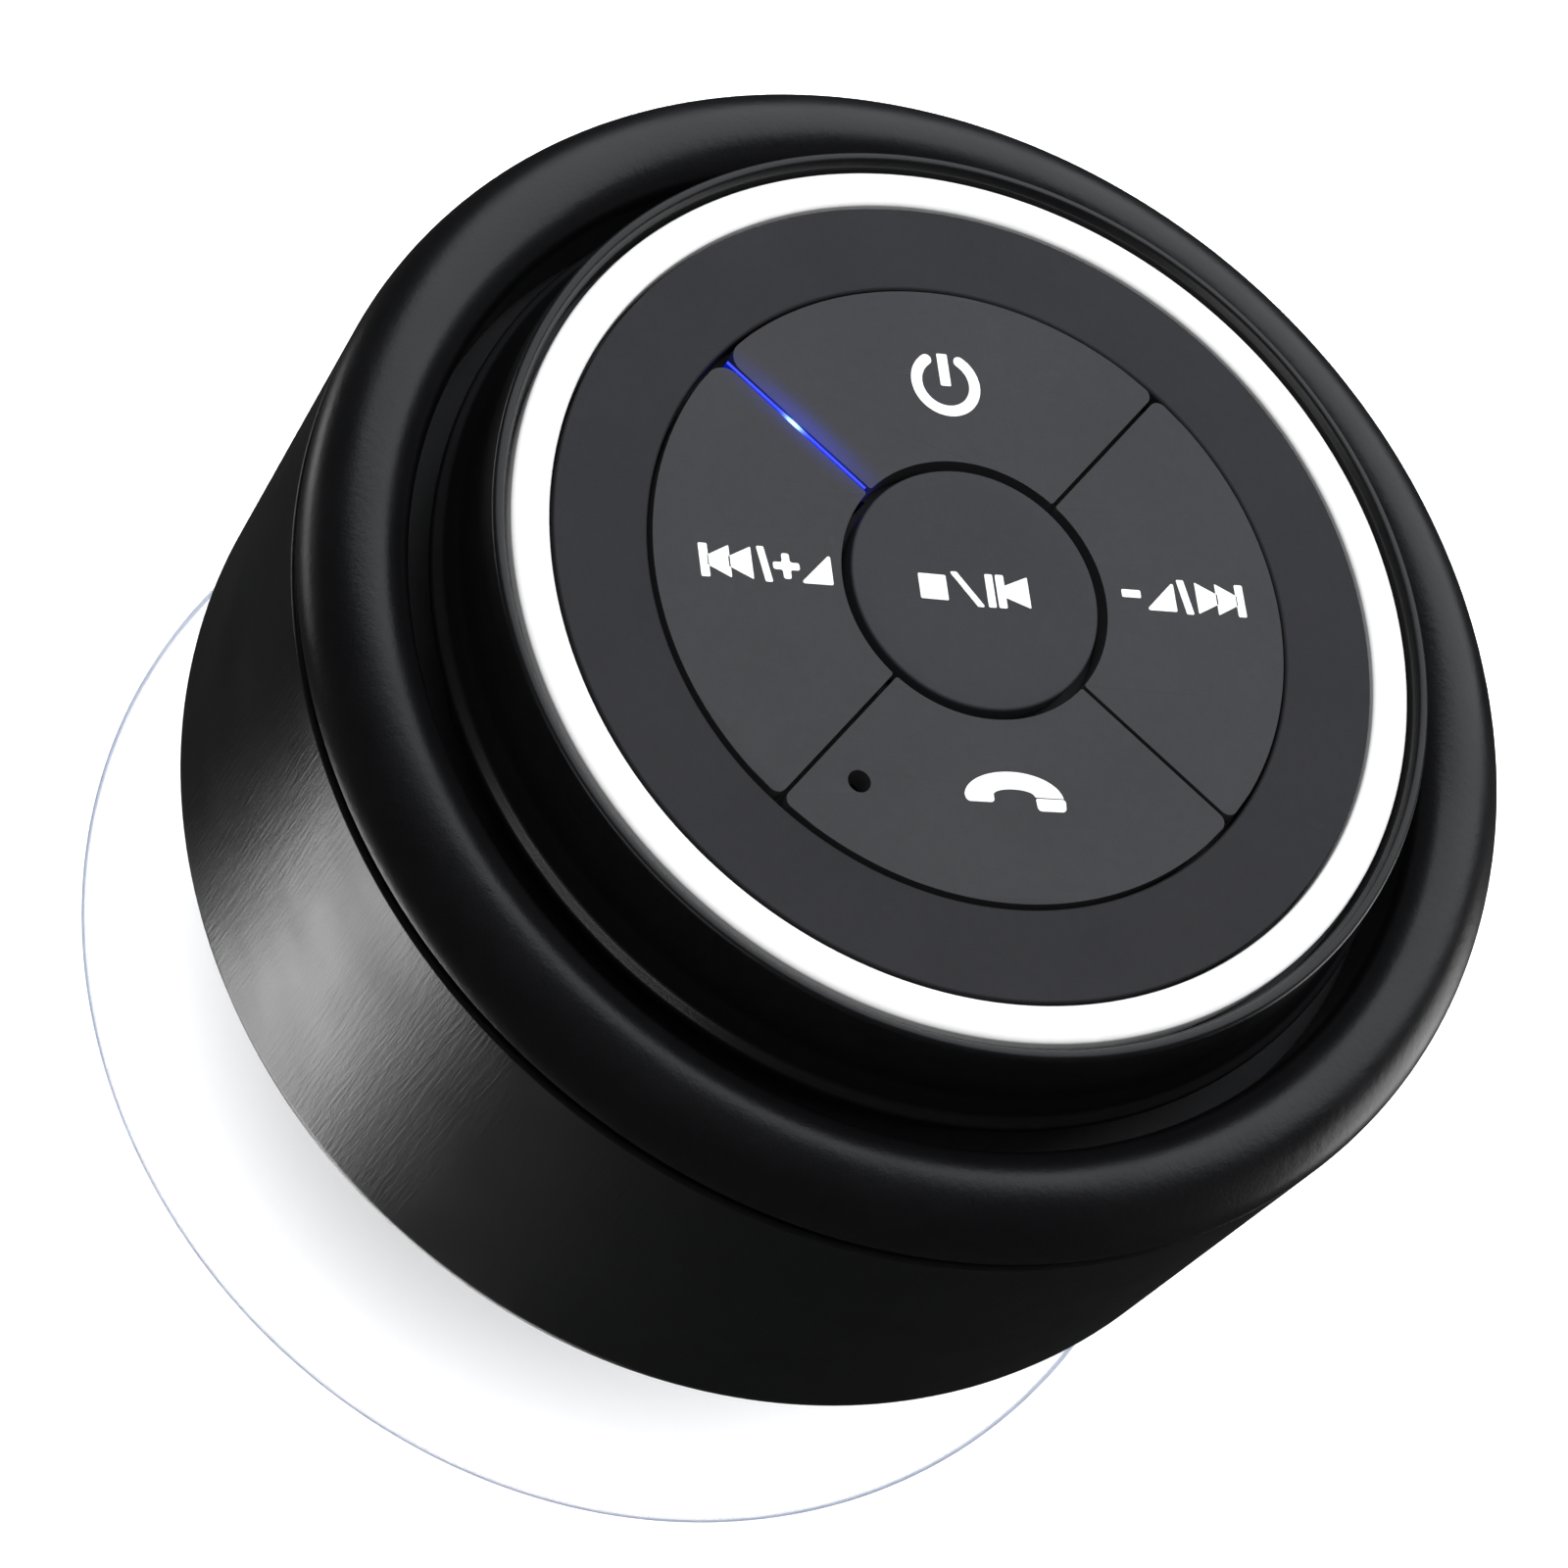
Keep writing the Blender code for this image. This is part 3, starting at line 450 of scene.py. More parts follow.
def slab(name, outlines, low, high):
    """A flat plate between two heights. The first outline is its edge, and the others are holes."""
    curve = bpy.data.curves.new(name, "CURVE")
    curve.dimensions = "2D"
    curve.fill_mode = "BOTH"
    curve.extrude = (high - low) / 2 * MM
    for outline in outlines:
        spline = curve.splines.new("POLY")
        spline.points.add(len(outline) - 1)
        for point, (x, y) in zip(spline.points, outline):
            point.co = (x * MM, y * MM, 0, 1)
        spline.use_cyclic_u = True
    flat = bpy.data.objects.new(name + "_outline", curve)
    bpy.context.scene.collection.objects.link(flat)
    bpy.context.view_layer.update()
    graph = bpy.context.evaluated_depsgraph_get()
    mesh = bpy.data.meshes.new_from_object(flat.evaluated_get(graph))
    bpy.data.objects.remove(flat)
    work = bmesh.new()
    work.from_mesh(mesh)
    bmesh.ops.translate(work, vec=(0, 0, (low + high) / 2 * MM), verts=work.verts)
    bpy.data.meshes.remove(mesh)
    return object_from(name, work)


def use(piece, kind, **settings):
    """Adds a modifier and applies it."""
    modifier = piece.modifiers.new(kind.lower(), kind)
    for key, value in settings.items():
        setattr(modifier, key, value)
    bpy.context.view_layer.update()
    graph = bpy.context.evaluated_depsgraph_get()
    mesh = bpy.data.meshes.new_from_object(piece.evaluated_get(graph))
    piece.modifiers.clear()
    piece.data = mesh
    return piece


def bevel(piece, width, segments=4):
    """Rounds every edge that turns by more than 50 degrees."""
    return use(
        piece,
        "BEVEL",
        width=width * MM,
        segments=segments,
        limit_method="ANGLE",
        angle_limit=math.radians(50),
    )


def join(piece, other, operation):
    """Adds another solid to this one, or cuts it away, and removes the other."""
    use(piece, "BOOLEAN", object=other, operation=operation, solver="EXACT")
    bpy.data.objects.remove(other)


def together(name, pieces):
    """One object that holds several separate solids."""
    work = bmesh.new()
    for piece in pieces:
        piece.data.transform(piece.matrix_world)
        work.from_mesh(piece.data)
        bpy.data.objects.remove(piece)
    return object_from(name, work)


def shade(piece):
    """Smooth shading that leaves steep edges sharp."""
    sharp_from = 32  # degrees
    piece.data.shade_smooth()
    piece.data.set_sharp_from_angle(angle=math.radians(sharp_from))
    weighted = piece.modifiers.new("weighted", "WEIGHTED_NORMAL")
    weighted.keep_sharp = True
    weighted.weight = 60


def settle(piece, slot, body, *nodes):
    """Shades the piece, gives it its finish and its body, and hides the nodes that it stands for.
    """
    shade(piece)
    piece.data.materials.clear()
    piece.data.materials.append(FINISHES[slot].material)
    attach(piece, body)
    if nodes:
        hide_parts(*nodes)


# ---------------------------------------------------------------------------------------------
# Suction cup and drum
# ---------------------------------------------------------------------------------------------


def make_cup():
    neck_r, neck_low = 9.5, 15.4
    socket_r, socket_z = 4.3, 13.4  # blind hole for the stud's boss
    neck = [
        (0, socket_z),
        (socket_r, socket_z, 0.2),
        (socket_r, CUP_NECK_TOP, 0.2),
        (neck_r, CUP_NECK_TOP, 0.7),
        (neck_r, neck_low, 2.0),
    ]
    outer_face = [
        (13.0, 12.6, 3.0),
        (20.0, 10.2, 6.0),
        (28.0, 7.6, 8.0),
        (36.0, 4.6, 8.0),
        (42.0, 1.75, 3.0),
    ]
    rim = [
        (CUP_R - 0.05, 1.0, 0.3),
        (CUP_R, 0.0, 0.3),
        (CUP_R - 1.6, 0.0, 0.2),
    ]
    inner_face = [
        (38.5, 1.5, 4.0),
        (31.0, 4.3, 8.0),
        (22.0, 7.0, 8.0),
        (12.0, 9.2, 6.0),
        (0, 10.0),
    ]
    cup = lathe("suction_cup_skin", neck + outer_face + rim + inner_face)
    settle(cup, "clear_pvc", "suction_cup", "suction_cup")


def make_stud():
    """The stud's flange has a knurled edge, to turn it by hand."""
    thread_r = 2.5
    boss_r, boss_z = 3.95, 13.8  # foot of the stud, inside the cup's neck
    flange_low, flange_top = CUP_NECK_TOP + GAP, 22.6
    core_r = FLANGE_R - 0.6
    profile = [
        (0, THREAD_TIP),
        (thread_r, THREAD_TIP, 0.3),
        (thread_r, flange_top, 0.1),
        (core_r, flange_top, 0.3),
        (core_r, flange_low, 0.3),
        (boss_r, flange_low),
        (boss_r, boss_z, 0.4),
        (0, boss_z),
    ]
    core = lathe("cup_stud_core", profile, steps=96)
    teeth, tooth_depth = 30, 0.55
    inset = 0.25  # of the knurl from the flange's faces
    outline = []
    for i in range(teeth):
        for angle, depth in ((-4, tooth_depth), (-2.2, 0), (2.2, 0), (4, tooth_depth)):
            outline.append(polar(FLANGE_R - depth, 360 * i / teeth + angle))
    knurl = slab("knurl", [outline], flange_low + inset, flange_top - inset)
    bevel(knurl, 0.15, segments=2)
    settle(together("cup_stud_skin", [core, knurl]), "inner_black", "suction_cup", "cup_stud")


def slot_outline(width, height):
    """A rectangle with round ends, about the origin."""
    radius = height / 2
    reach = width / 2 - radius
    return arc((reach, 0), radius, -90, 90, 17) + arc((-reach, 0), radius, 90, 270, 17)


def bent_slab(name, outline, near, far):
    """A plate on the drum's +X side that follows its curve. The outline's x runs round the drum."""
    piece = slab(name, [outline], near, far)
    work = bmesh.new()
    work.from_mesh(piece.data)
    reach = max(x for x, _ in outline)
    cuts = 24
    for i in range(1, cuts):
        spot = (-reach + 2 * reach * i / cuts) * MM
        geometry = work.verts[:] + work.edges[:] + work.faces[:]
        bmesh.ops.bisect_plane(work, geom=geometry, plane_co=(spot, 0, 0), plane_no=(1, 0, 0))
    for vert in work.verts:
        turn = vert.co.x / (BODY_R * MM)
        radius, height = vert.co.z, vert.co.y
        vert.co = (radius * math.cos(turn), radius * math.sin(turn), height + PORT_Z * MM)
    work.to_mesh(piece.data)
    work.free()
    return piece


def straight_slab(name, outlines, near, far, height=PORT_Z):
    """A plate that faces +X, with no curve. The outlines are those of a slab."""
    piece = slab(name, outlines, near, far)
    facing_x = Matrix(((0, 0, 1, 0), (1, 0, 0, 0), (0, 1, 0, 0), (0, 0, 0, 1)))
    piece.data.transform(Matrix.Translation((0, 0, height * MM)) @ facing_x)
    return piece


def at_screws(name, profile, steps):
    """The same turned solid at each of the housing's screws."""
    spots = [polar(SCREW_CIRCLE, angle) for angle in SCREW_ANGLES]
    return together(name, [lathe(name, profile, steps, spot) for spot in spots])


def make_drum():
    """Wall and floor, with a boss for the insert, four screw tubes, and the port in its pocket."""
    inner_r = BODY_R - WALL
    floor_z = BACK_Z + WALL
    recess_r, recess_z = 13.4, BACK_Z + 0.35  # shallow recess round the stud's flange
    insert_r, boss_r, boss_top = 4.4, 7.0, INSERT_TOP + 0.4
    profile = [
        (inner_r, DRUM_TOP, 0.2),
        (BODY_R, DRUM_TOP, 0.35),
        (BODY_R, BACK_Z, 2.6),
        (recess_r + 0.6, BACK_Z, 0.3),
        (recess_r, recess_z, 0.3),
        (insert_r, recess_z, 0.1),
        (insert_r, boss_top, 0.1),
        (boss_r, boss_top, 0.3),
        (boss_r, floor_z, 0.3),
        (inner_r, floor_z, 1.2),
    ]
    drum = lathe("rear_housing_skin", profile)

    past = 1  # how far a solid that is joined or cut reaches past the face it meets
    tube_r, tube_top = 3.1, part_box("front_baffle")[0].z / MM - GAP
    tube = [(0, tube_top), (tube_r, tube_top), (tube_r, BACK_Z + past), (0, BACK_Z + past)]
    join(drum, at_screws("tubes", tube, steps=48), "UNION")

    shank_r, head_r, chamfer = 1.6, 2.7, 0.3
    bore = [
        (0, tube_top + past),
        (shank_r, tube_top + past),
        (shank_r, SCREW_SEAT_Z),
        (head_r, SCREW_SEAT_Z),
        (head_r, BACK_Z + chamfer),
        (head_r + chamfer, BACK_Z),
        (head_r + chamfer, BACK_Z - past),
        (0, BACK_Z - past),
    ]
    join(drum, at_screws("bores", bore, steps=64), "DIFFERENCE")

    pocket_depth, port_depth, outside = 1.3, 6, BODY_R + 2
    pocket = slot_outline(POCKET_WIDTH, POCKET_HEIGHT)
    join(drum, bent_slab("pocket", pocket, BODY_R - pocket_depth, outside), "DIFFERENCE")
    port = slot_outline(PORT_WIDTH, PORT_HEIGHT)
    join(drum, straight_slab("port", [port], BODY_R - port_depth, outside), "DIFFERENCE")
    settle(drum, "rubber_coat", "housing", "rear_housing")


def make_flap():
    """The charging port's flap: a lid with a finger notch at its free end, and a spigot that
    reaches into the port."""
    near, far = BODY_R - 1.0, BODY_R - 0.15
    lid = slot_outline(POCKET_WIDTH - 0.8, POCKET_HEIGHT - 0.8)
    flap = bevel(bent_slab("port_plug_skin", lid, near, far), 0.2, segments=3)
    notch_depth, notch_move = 0.2, 2.2
    notch = bent_slab("notch", slot_outline(6.4, 3.0), far - notch_depth, far + 1)
    for vert in notch.data.vertices:
        vert.co.y -= notch_move * MM
    join(flap, notch, "DIFFERENCE")
    outline = slot_outline(PORT_WIDTH - 2.4, PORT_HEIGHT - 1.2)
    spigot = straight_slab("spigot", [outline], BODY_R - 2.6, near + 0.3)
    join(flap, bevel(spigot, 0.25, segments=3), "UNION")
    settle(flap, "silicone_black", "port_plug", "port_plug")


def make_socket():
    """The charging socket: a folded steel shell round a dark tongue."""
    low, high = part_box("usb_socket")
    size = (high - low) / MM
    back_x, mouth_x = low.x / MM, high.x / MM
    height = node_middle("usb_socket").z

    def shell_outline(inset):
        w, h = size.y / 2 - inset, size.z / 2 - inset
        return softened([(-w, -h, 0.5), (w, -h, 0.5), (w, h, 0.9), (-w, h, 0.9)])

    sheet, back_thick = 0.3, 0.6
    outlines = [shell_outline(0), shell_outline(sheet)]
    shell = straight_slab("usb_socket_skin", outlines, back_x, mouth_x, height)
    back = straight_slab("socket_back", [shell_outline(0.05)], back_x, back_x + back_thick, height)
    join(shell, back, "UNION")
    settle(shell, "steel", "housing", "usb_socket")
    outline = slot_outline(5.4, 0.7)
    tongue = straight_slab("usb_tongue", [outline], back_x + 0.7, mouth_x - 0.6, height)
    settle(bevel(tongue, 0.06, segments=2), "chip_black", "housing")


def make_screws():
    """Pan heads with a cross recess, each turned a little further than the one before."""
    seat = SCREW_SEAT_Z - GAP
    shank_r, head_r = 1.25, 2.3
    arm, reach, depth = 0.28, 1.35, 0.95
    for number, angle in enumerate(SCREW_ANGLES, 1):
        spot = polar(SCREW_CIRCLE, angle)
        node = f"housing_screw_{number}"
        _, low, tip = node_size(node)
        profile = [
            (0, tip),
            (0.7, tip, 0.2),
            (shank_r, tip - 0.8, 0.2),
            (shank_r, seat),
            (head_r, seat, 0.1),
            (head_r, low, 0.7),
            (0, low),
        ]
        screw = lathe(node + "_skin", profile, 64, spot)
        cross = moved(cross_outline(reach, arm, 20 * number), *spot)
        join(screw, slab("recess", [cross], low - 1, low + depth), "DIFFERENCE")
        settle(screw, "steel", "housing", node)


# ---------------------------------------------------------------------------------------------
# Front ring and pod
# ---------------------------------------------------------------------------------------------


def make_ring():
    """Crowned ring with a step down to the sound slot, and a spigot that carries the O-ring."""
    outer_low = SEAM_Z + 0.4
    slope_low = 55.6  # where the inner slope meets the slot's wall
    wall_low, bore_r = 51.4, 38.6  # foot of the slot's wall, and the bore under it
    spigot_r = BODY_R - WALL - 0.35
    groove_r, groove_low, groove_high = 39.5, 50.2, 51.8
    profile = [(BODY_R - 0.45, SEAM_Z, 0.1)]
    profile += ellipse((CROWN_R, outer_low), (BODY_R - CROWN_R, CROWN_Z - outer_low), 0, 90, 30)
    radii = (CROWN_R - SLOT_OUTER_R, CROWN_Z - slope_low)
    profile += ellipse((CROWN_R, slope_low), radii, 90, 180, 22)[1:]
    profile += [
        (SLOT_OUTER_R, wall_low, 0.2),
        (bore_r, wall_low),
        (bore_r, SPIGOT_Z, 0.3),
        (spigot_r, SPIGOT_Z, 0.3),
        (spigot_r, groove_low, 0.1),
        (groove_r, groove_low, 0.1),
        (groove_r, groove_high, 0.1),
        (spigot_r, groove_high, 0.1),
        (spigot_r, SEAM_Z),
    ]
    settle(lathe("front_ring_skin", profile), "rubber_coat", "housing", "front_ring")


def make_pod_shell():
    """Wall of the pod with a lip at its foot, and a rim round the seat of the trim ring."""
    seat_r, seat_z = TRIM_OUTER_R + 0.4, INLAY_Z - 0.4
    shelf_r, shelf_low = 27.5, 60.5  # shelf under the trim ring and the face plate
    profile = [
        (seat_r, FACE_Z - 0.1, 0.15),
        (seat_r + 0.35, POD_TOP, 0.35),
        (POD_RIM_R, POD_TOP, 0.5),
        (33.15, 61.5, 6.0),
        (33.5, 58.6, 3.0),
        (34.1, 56.9, 0.8),
        (POD_LIP_R, 56.4, 0.45),
        (POD_LIP_R, POD_SKIRT_Z, 0.6),
        (33.1, POD_SKIRT_Z, 0.2),
        (32.6, 56.6),
        (32.0, shelf_low),
        (shelf_r, shelf_low, 0.2),
        (shelf_r, seat_z, 0.2),
        (seat_r, seat_z),
    ]
    settle(lathe("pod_shell_skin", profile), "pod_black", "housing", "pod_shell")


def make_trim_ring():
    """A bead with a round crown."""
    crown = 0.5
    middle = (TRIM_OUTER_R + TRIM_INNER_R) / 2
    half = (TRIM_OUTER_R - TRIM_INNER_R) / 2
    bead = ellipse((middle, TRIM_TOP - crown), (half, crown), 0, 180, 25)
    bead += [(TRIM_INNER_R, INLAY_Z), (TRIM_OUTER_R, INLAY_Z)]
    settle(lathe("trim_ring_skin", bead), "trim_white", "housing", "trim_ring")


def make_face_plate():
    annulus = [
        (FACE_OUTER_R, FACE_TOP, 0.12),
        (FACE_OUTER_R, INLAY_Z),
        (FACE_INNER_R, INLAY_Z),
        (FACE_INNER_R, FACE_TOP, 0.25),
    ]
    settle(lathe("face_plate_skin", annulus), "face_grey", "housing", "face_plate")


# ---------------------------------------------------------------------------------------------
# Keys
# ---------------------------------------------------------------------------------------------


def sector_outline(middle):
    """Outline of a quarter key about the angle of its middle, with its outer corners rounded."""

    def side(radius, edge):
        """Angle that half of the gap takes at this radius."""
        half_gap = (LIGHT_SPLIT if edge % 360 == LIGHT_ANGLE else KEY_SPLIT) / 2
        return math.degrees(math.asin(half_gap / radius))

    def edges(radius):
        low, high = middle - 45, middle + 45
        return low + side(radius, low), high - side(radius, high)

    def corner(edge):
        return 1.3 if edge % 360 == LIGHT_ANGLE else 0.7

    outer = arc((0, 0), KEYS_R, *edges(KEYS_R), 81)
    inner = arc((0, 0), SECTOR_INNER_R, *reversed(edges(SECTOR_INNER_R)), 41)
    taken = 6  # stretches of the outer arc that a rounded corner takes
    inner_corner = 0.2
    outline = [(*outer[0], corner(middle - 45))]
    outline += outer[taken:-taken]
    outline += [(*outer[-1], corner(middle + 45)), (*inner[0], inner_corner)]
    outline += inner[1:-1]
    outline += [(*inner[-1], inner_corner)]
    return softened(outline)


def stem(key, spot):
    """Adds the stem that pushes the key's switch."""
    root_z = KEY_LOW + 0.5
    profile = [(0, root_z), (STEM_R, root_z), (STEM_R, STEM_TIP_Z, 0.3), (0, STEM_TIP_Z)]
    join(key, lathe("stem", profile, 48, spot), "UNION")


def make_sector_keys():
    for name, middle in KEY_ANGLES.items():
        outlines = [sector_outline(middle)]
        if name == "call_key":
            outlines.append(arc(polar(*MIC_SPOT), MIC_R, 0, 360, 41)[:-1])
        key = bevel(slab(name + "_skin", outlines, KEY_LOW, FACE_Z), 0.16)
        stem(key, polar(STEM_CIRCLE, middle))
        settle(key, "key_grey", name, name)


def dish_height(radius):
    """Height of the centre key's dished top."""
    share = min(1.0, radius / DISH_R)
    return PLAY_RIM_Z - DISH_DEPTH * (1 - share * share) ** 2


def make_play_key():
    steps = 24
    radii = [DISH_R * i / steps for i in range(steps + 1)]
    profile = [(radius, dish_height(radius)) for radius in radii]
    profile += [
        (PLAY_KEY_R, PLAY_RIM_Z, 0.2),
        (PLAY_KEY_R, KEY_LOW, 0.2),
        (0, KEY_LOW),
    ]
    play = lathe("play_key_skin", profile)
    stem(play, (0, 0))
    settle(play, "play_grey", "play_key", "play_key")


def bar(left, right, low, high, lean=0.0):
    """A printed bar, whose top stands to the left of its foot by lean."""
    corner = 0.1
    return softened(
        [
            (left + lean / 2, low, corner),
            (right + lean / 2, low, corner),
            (right - lean / 2, high, corner),
            (left - lean / 2, high, corner),
        ],
        3,
    )


def wedge(point_x, base_x, middle, half_point, half_base):
    """A triangle with a blunt point, about a middle height."""
    corner = 0.06
    return softened(
        [
            (point_x, middle - half_point),
            (base_x, middle - half_base, corner),
            (base_x, middle + half_base, corner),
            (point_x, middle + half_point),
        ],
        3,
    )


def stroke(center, radius, width, start, end):
    """Outline of a round line along an arc, with round ends."""
    half = width / 2

    def tip(angle, turn):
        x, y = polar(radius, angle)
        return arc((center[0] + x, center[1] + y), half, angle + turn, angle + turn + 180, 9)[1:-1]

    outline = arc(center, radius + half, start, end, 49)
    outline += tip(end, 0)
    outline += arc(center, radius - half, end, start, 49)
    outline += tip(start, 180)
    return outline


def skip_shapes():
    """Two wedges and a bar, about their middle, pointing to -X."""
    reach, half, blunt = 1.8, 1.2, 0.36
    return [
        bar(-reach, -reach + 0.62, -half, half),
        wedge(-reach + 0.55, -reach + 2.1, 0, blunt, half - 0.02),
        wedge(-reach + 2.0, reach, 0, blunt, half - 0.02),
    ]


def plus_shape():
    return softened([(x, y, 0.16) for x, y in cross_outline(0.92, 0.27)], 3)


def volume_shape():
    """A rising ramp, the usual sign for loudness."""
    half, corner = 1.15, 0.12
    return softened([(-half, -1.1, corner), (half, -1.1, corner), (half, half, corner)], 3)


def handset_shapes():
    """A telephone handset: a flat arch with a piece at each end, about the middle of the arch."""
    reach, rise, ear_low, ear_top = 3.5, 1.9, -0.3, 0.22
    ear_x, inner_reach = 1.45, 1.45
    arch = ellipse((0, 0), (reach, rise), 174, 5, 41)
    arch += [(inner_reach + 0.05, ear_top - 0.04, 0.1)]
    arch += ellipse((0, ear_top), (inner_reach, 0.45), 8, 172, 25)
    arch += [(-ear_x, ear_low, 0.25), (-reach + 0.1, ear_low, 0.35)]
    far_ear = [
        (ear_x + 0.05, ear_top - 0.12, 0.12),
        (ear_x + 0.1, ear_low - 0.48, 0.3),
        (reach + 0.05, ear_low - 0.48, 0.3),
        (reach + 0.12, ear_top - 0.12, 0.2),
    ]
    return [softened(arch, 4), softened(far_ear, 4)]


def legend(name, body, outlines, surface):
    """Printed white shapes that lie on a key. surface gives the key's height at a radius."""
    thick, sunk = 0.02, 0.04
    prints = [slab("print", [outline], -sunk, thick) for outline in outlines]
    piece = together(name, prints)
    for vert in piece.data.vertices:
        vert.co.z += surface(vert.co.xy.length / MM) * MM
    settle(piece, "trim_white", body)


def power_signs():
    """An open ring with a bar in its gap."""
    ring = stroke(center=(0.1, 15.35), radius=2.1, width=0.8, start=-235, end=55)
    return [ring, bar(-0.28, 0.48, 15.15, 17.6)]


def previous_signs():
    """Skip back, then a leaning bar, a plus and a ramp."""
    row = 0.7
    signs = [moved(shape, -17.4, row) for shape in skip_shapes()]
    signs.append(moved(bar(-0.26, 0.26, -1.27, 1.27, lean=0.4), -14.75, row))
    signs.append(moved(plus_shape(), -13.25, row - 0.05))
    signs.append(moved(volume_shape(), -11.25, row - 0.1))
    return signs


def next_signs():
    """A minus, a ramp, a leaning bar, then skip ahead."""
    row = 0.5
    signs = [moved(shape, 18.0, row, flip=True) for shape in skip_shapes()]
    signs.append(moved(bar(-0.28, 0.28, -1.27, 1.27, lean=0.45), 15.35, row))
    signs.append(moved(volume_shape(), 13.45, row - 0.05))
    signs.append(bar(10.65, 12.05, row - 0.3, row + 0.28))
    return signs


def play_signs():
    """Stop, a leaning bar, then two bars and a wedge that points to -X."""
    half = 1.22
    return [
        bar(-4.0, -2.0, -0.92, 0.92),
        bar(-0.82, -0.28, -1.24, 1.24, lean=1.75),
        bar(0.82, 1.38, -half, half),
        bar(1.56, 2.16, -half, half),
        wedge(2.1, 3.85, 0, 0.42, 1.16),
    ]


def make_legends():
    def flat(_):
        return FACE_Z

    legend("power_legend", "power_key", power_signs(), flat)
    legend("previous_legend", "previous_key", previous_signs(), flat)
    legend("next_legend", "next_key", next_signs(), flat)
    legend("play_legend", "play_key", play_signs(), dish_height)
    handset = [moved(shape, 0.45, -15.0) for shape in handset_shapes()]
    legend("call_legend", "call_key", handset, flat)


def make_light_pipe():
    """A clear blade in the gap between two keys, on a wider foot."""
    low, high = (value.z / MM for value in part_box("light_pipe"))
    foot_top = KEY_LOW - 0.8
    foot_half, blade_half = 0.6, 0.13
    spin = Matrix.Rotation(math.radians(LIGHT_ANGLE), 4, "Z")

    def strip(name, half_width, bottom, top):
        corners = [
            (LIGHT_INNER_R, -half_width),
            (LIGHT_OUTER_R, -half_width),
            (LIGHT_OUTER_R, half_width),
            (LIGHT_INNER_R, half_width),
        ]
        piece = slab(name, [corners], bottom, top)
        piece.data.transform(spin)
        return piece

    pipe = strip("light_pipe_skin", foot_half, low, foot_top)
    blade = bevel(strip("blade", blade_half, foot_top - 0.3, high), 0.05, segments=2)
    join(pipe, blade, "UNION")
    settle(pipe, "light_blue", "housing", "light_pipe")


# ---------------------------------------------------------------------------------------------
# Nodes that keep their own shape
# ---------------------------------------------------------------------------------------------


def dress_nodes():
    """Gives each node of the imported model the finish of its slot."""
    for row in frame["record"]["subparts"]:
        node = frame["nodes"][row["node"]]
        material = FINISHES[row["material_slot"]].material
        if not node.material_slots:
            node.data.materials.append(material)
        for place in node.material_slots:
            place.material = material


# ---------------------------------------------------------------------------------------------
# Camera, lights and floor
# ---------------------------------------------------------------------------------------------

AIM = Vector((-15.4, -14.8, 63.5))  # point of the face's plane at the middle of the picture
CAMERA_DISTANCE = 273.6
CAMERA_AZIMUTH = -43.2  # 0 looks along +Y
CAMERA_ELEVATION = 56.2
CAMERA_ROLL = 41.0
LENS = 101.0

STUDIO_R = 4.0  # metres
LIGHT_TARGET = Vector((0, 0, 0.045))  # metres, inside the speaker


def direction(azimuth, elevation):
    """Unit vector towards a point in the sky, with azimuth 0 at -Y and turning to +X."""
    a, e = math.radians(azimuth), math.radians(elevation)
    return Vector((math.sin(a) * math.cos(e), -math.cos(a) * math.cos(e), math.sin(e)))


def make_camera():
    data = bpy.data.cameras.new("camera")
    data.lens = LENS
    data.sensor_width = 36.0
    data.clip_start = 0.01
    camera = bpy.data.objects.new("camera", data)
    bpy.context.scene.collection.objects.link(camera)
    back = direction(CAMERA_AZIMUTH, CAMERA_ELEVATION)
    camera.rotation_mode = "QUATERNION"
    turned = (-back).to_track_quat("-Z", "Y").to_matrix()
    roll = Matrix.Rotation(math.radians(CAMERA_ROLL), 3, "Z")
    camera.rotation_quaternion = (turned @ roll).to_quaternion()
    camera.location = (AIM + back * CAMERA_DISTANCE) * MM
    bpy.context.scene.camera = camera


def make_light(name, azimuth, elevation, distance, size, power, color=(1, 1, 1)):
    """A soft box that looks at the speaker. Distance and size are in metres."""
    data = bpy.data.lights.new(name, "AREA")
    data.shape = "RECTANGLE"
    data.size, data.size_y = size
    data.energy = power
    data.color = color
    light = bpy.data.objects.new(name, data)
    bpy.context.scene.collection.objects.link(light)
    toward = direction(azimuth, elevation)
    light.location = LIGHT_TARGET + toward * distance
    light.rotation_mode = "QUATERNION"
    light.rotation_quaternion = toward.to_track_quat("Z", "Y")
    return light


def make_floor():
    """A pale floor that shows nothing of itself in the speaker, and is clear from below."""
    work = bmesh.new()
    bmesh.ops.create_circle(work, cap_ends=True, segments=96, radius=STUDIO_R)
    floor = object_from("floor", work)
    if floor.data.polygons[0].normal.z < 0:
        floor.data.flip_normals()
    nodes = Nodes("floor_paint")
    cloudy = nodes.noise(40.0)
    nodes.link("Base Color", nodes.blend(cloudy, (0.88, 0.88, 0.89), (0.90, 0.90, 0.91)))
    nodes.link("Roughness", 0.9)
    behind = nodes.add("ShaderNodeNewGeometry").outputs["Backfacing"]
    nodes.link("Alpha", nodes.math("SUBTRACT", 1.0, behind))
    floor.data.materials.append(nodes.material)
    floor.visible_glossy = False
    floor.visible_shadow = False
    return floor


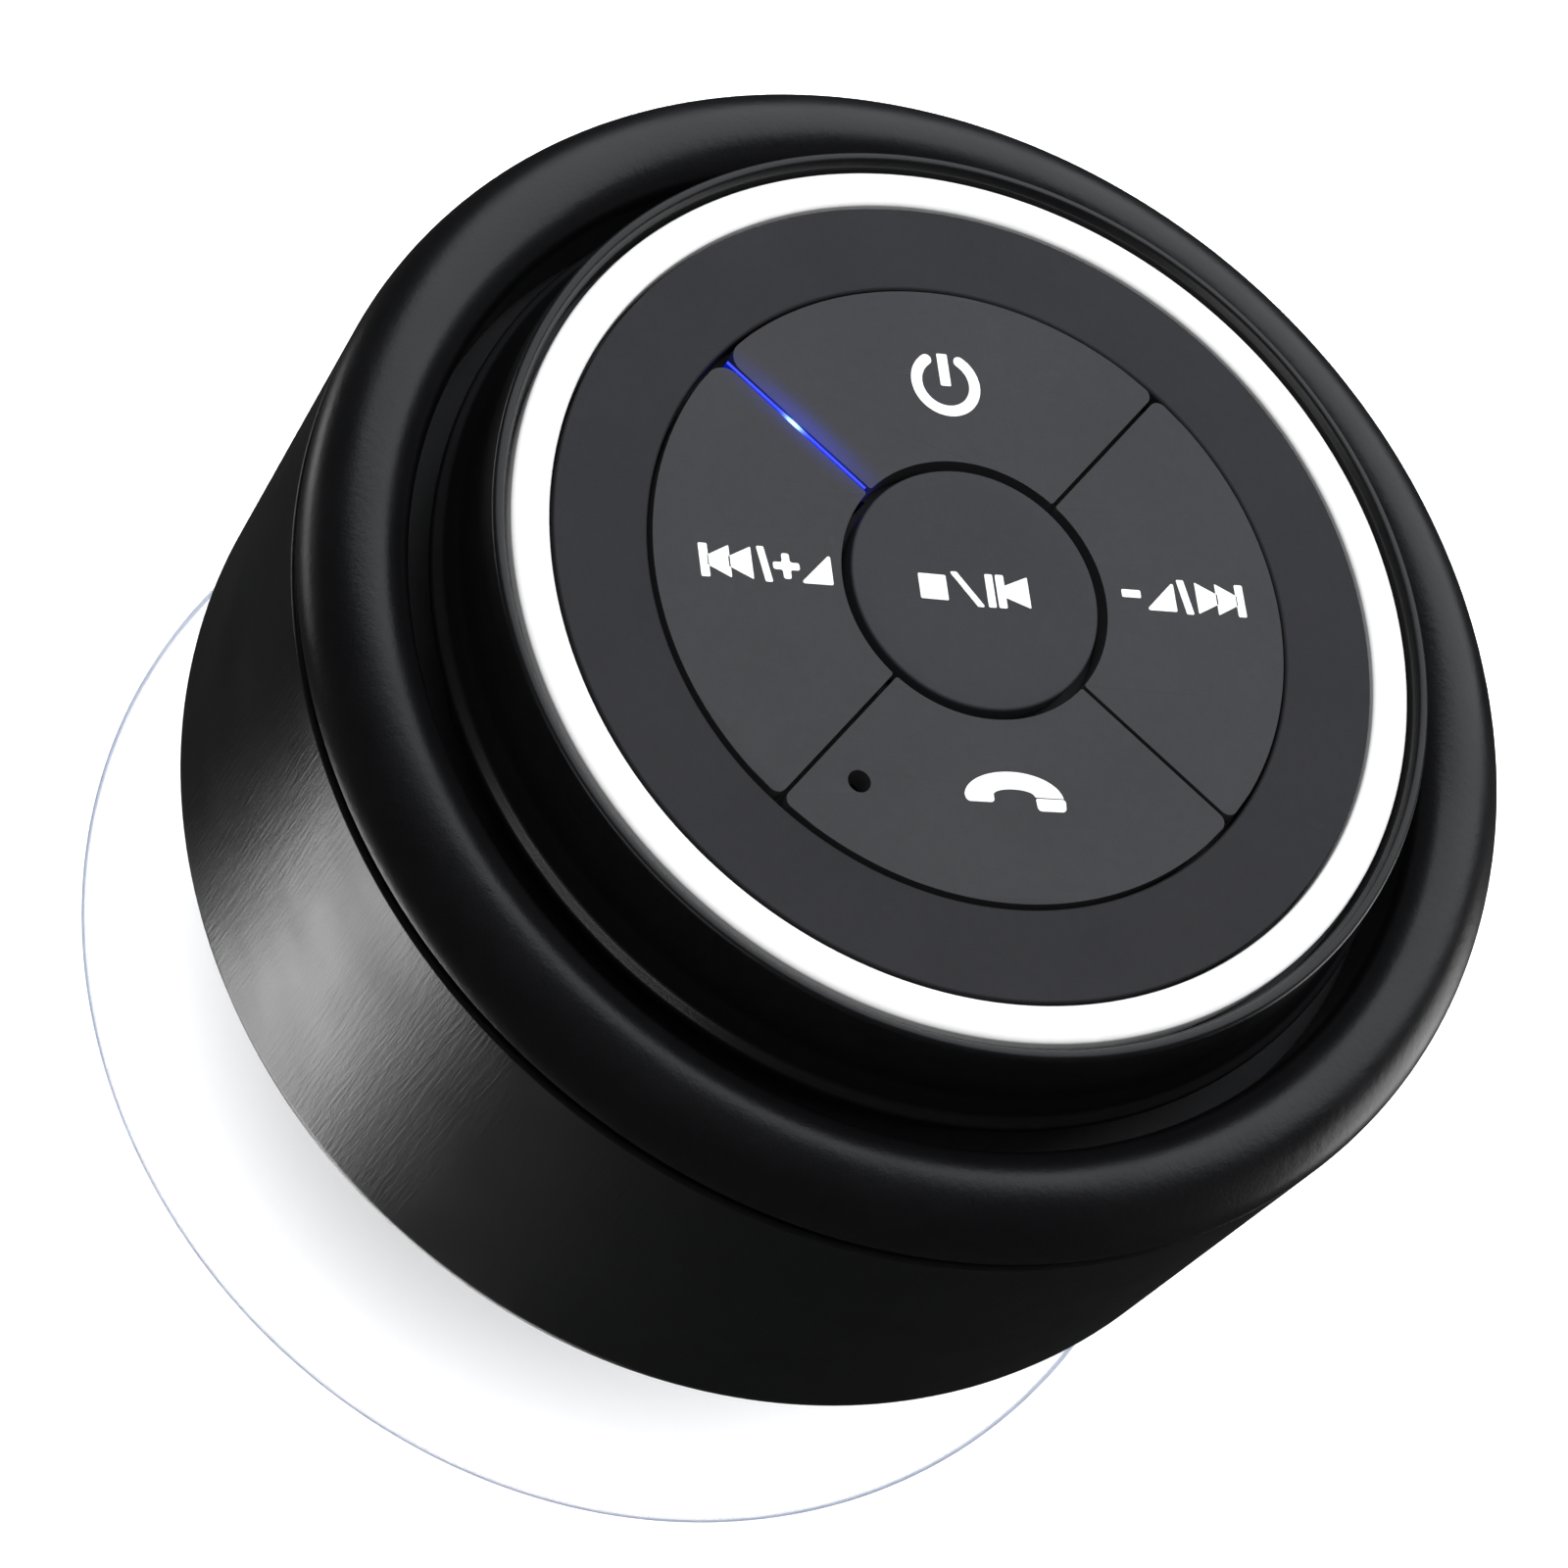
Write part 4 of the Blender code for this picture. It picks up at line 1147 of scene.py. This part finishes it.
def make_backdrop():
    """A pale round backdrop, above and below the floor, that only the camera sees."""
    radius = STUDIO_R * 0.98 / MM
    profile = [(0, -radius), *arc((0, 0), radius, -88, 88, 45), (0, radius)]
    backdrop = lathe("backdrop", profile, steps=96)
    nodes = Nodes("backdrop_paint")
    nodes.link("Base Color", (0, 0, 0, 1))
    nodes.link("Specular IOR Level", 0.0)
    nodes.link("Emission Color", nodes.blend(nodes.noise(900.0), (0.95, 0.95, 0.96), (1, 1, 1)))
    nodes.link("Emission Strength", 0.98)
    backdrop.data.materials.append(nodes.material)
    backdrop.visible_diffuse = False
    backdrop.visible_glossy = False
    backdrop.visible_shadow = False


def make_stage():
    """Floor, backdrop and a dim sky. A wash whitens the floor with no shadow, and lights nothing
    else."""
    only_floor = bpy.data.collections.new("floor_only")
    only_floor.objects.link(make_floor())
    make_backdrop()
    wash = make_light("floor_wash", 0, 90, distance=1.6, size=(2.5, 2.5), power=60)
    wash.light_linking.receiver_collection = only_floor
    wash.light_linking.blocker_collection = only_floor

    world = bpy.data.worlds.new("studio")
    bpy.context.scene.world = world
    world.use_nodes = True
    back = world.node_tree.nodes["Background"]
    back.inputs["Color"].default_value = (0.9, 0.92, 0.95, 1)
    back.inputs["Strength"].default_value = 0.025
    bpy.context.scene.view_settings.view_transform = "Standard"


def make_lights():
    """The studio lights. Azimuth and elevation come first, in degrees."""
    overhead = make_light("overhead", 0, 90, distance=0.8, size=(1.0, 1.0), power=9.5)
    overhead.visible_glossy = False  # it would whiten the flat face
    cool = (0.92, 0.95, 1.0)
    make_light("sky_box", 148, 40, distance=0.7, size=(1.20, 0.80), power=4.3, color=cool)
    make_light("under_glow", -90, -62, distance=0.5, size=(0.17, 0.22), power=0.48)
    make_light("edge_strip", -133, -24, distance=0.6, size=(0.30, 0.10), power=0.30)
    make_light("side_fill", 80, -8, distance=0.7, size=(0.3, 0.5), power=1.2)
    make_light("back_fill", 0, -88, distance=0.6, size=(0.16, 0.16), power=0.35)
    pod_strip = make_light("pod_strip", -58, 32, distance=0.6, size=(0.45, 0.10), power=0.45)
    only_pod = bpy.data.collections.new("pod_only")
    only_pod.objects.link(bpy.data.objects["pod_shell_skin"])
    pod_strip.light_linking.receiver_collection = only_pod


make_finishes()
make_camera()
make_cup()
make_stud()
make_drum()
make_flap()
make_socket()
make_screws()
make_ring()
make_pod_shell()
make_trim_ring()
make_face_plate()
make_sector_keys()
make_play_key()
make_legends()
make_light_pipe()
dress_nodes()
make_stage()
make_lights()
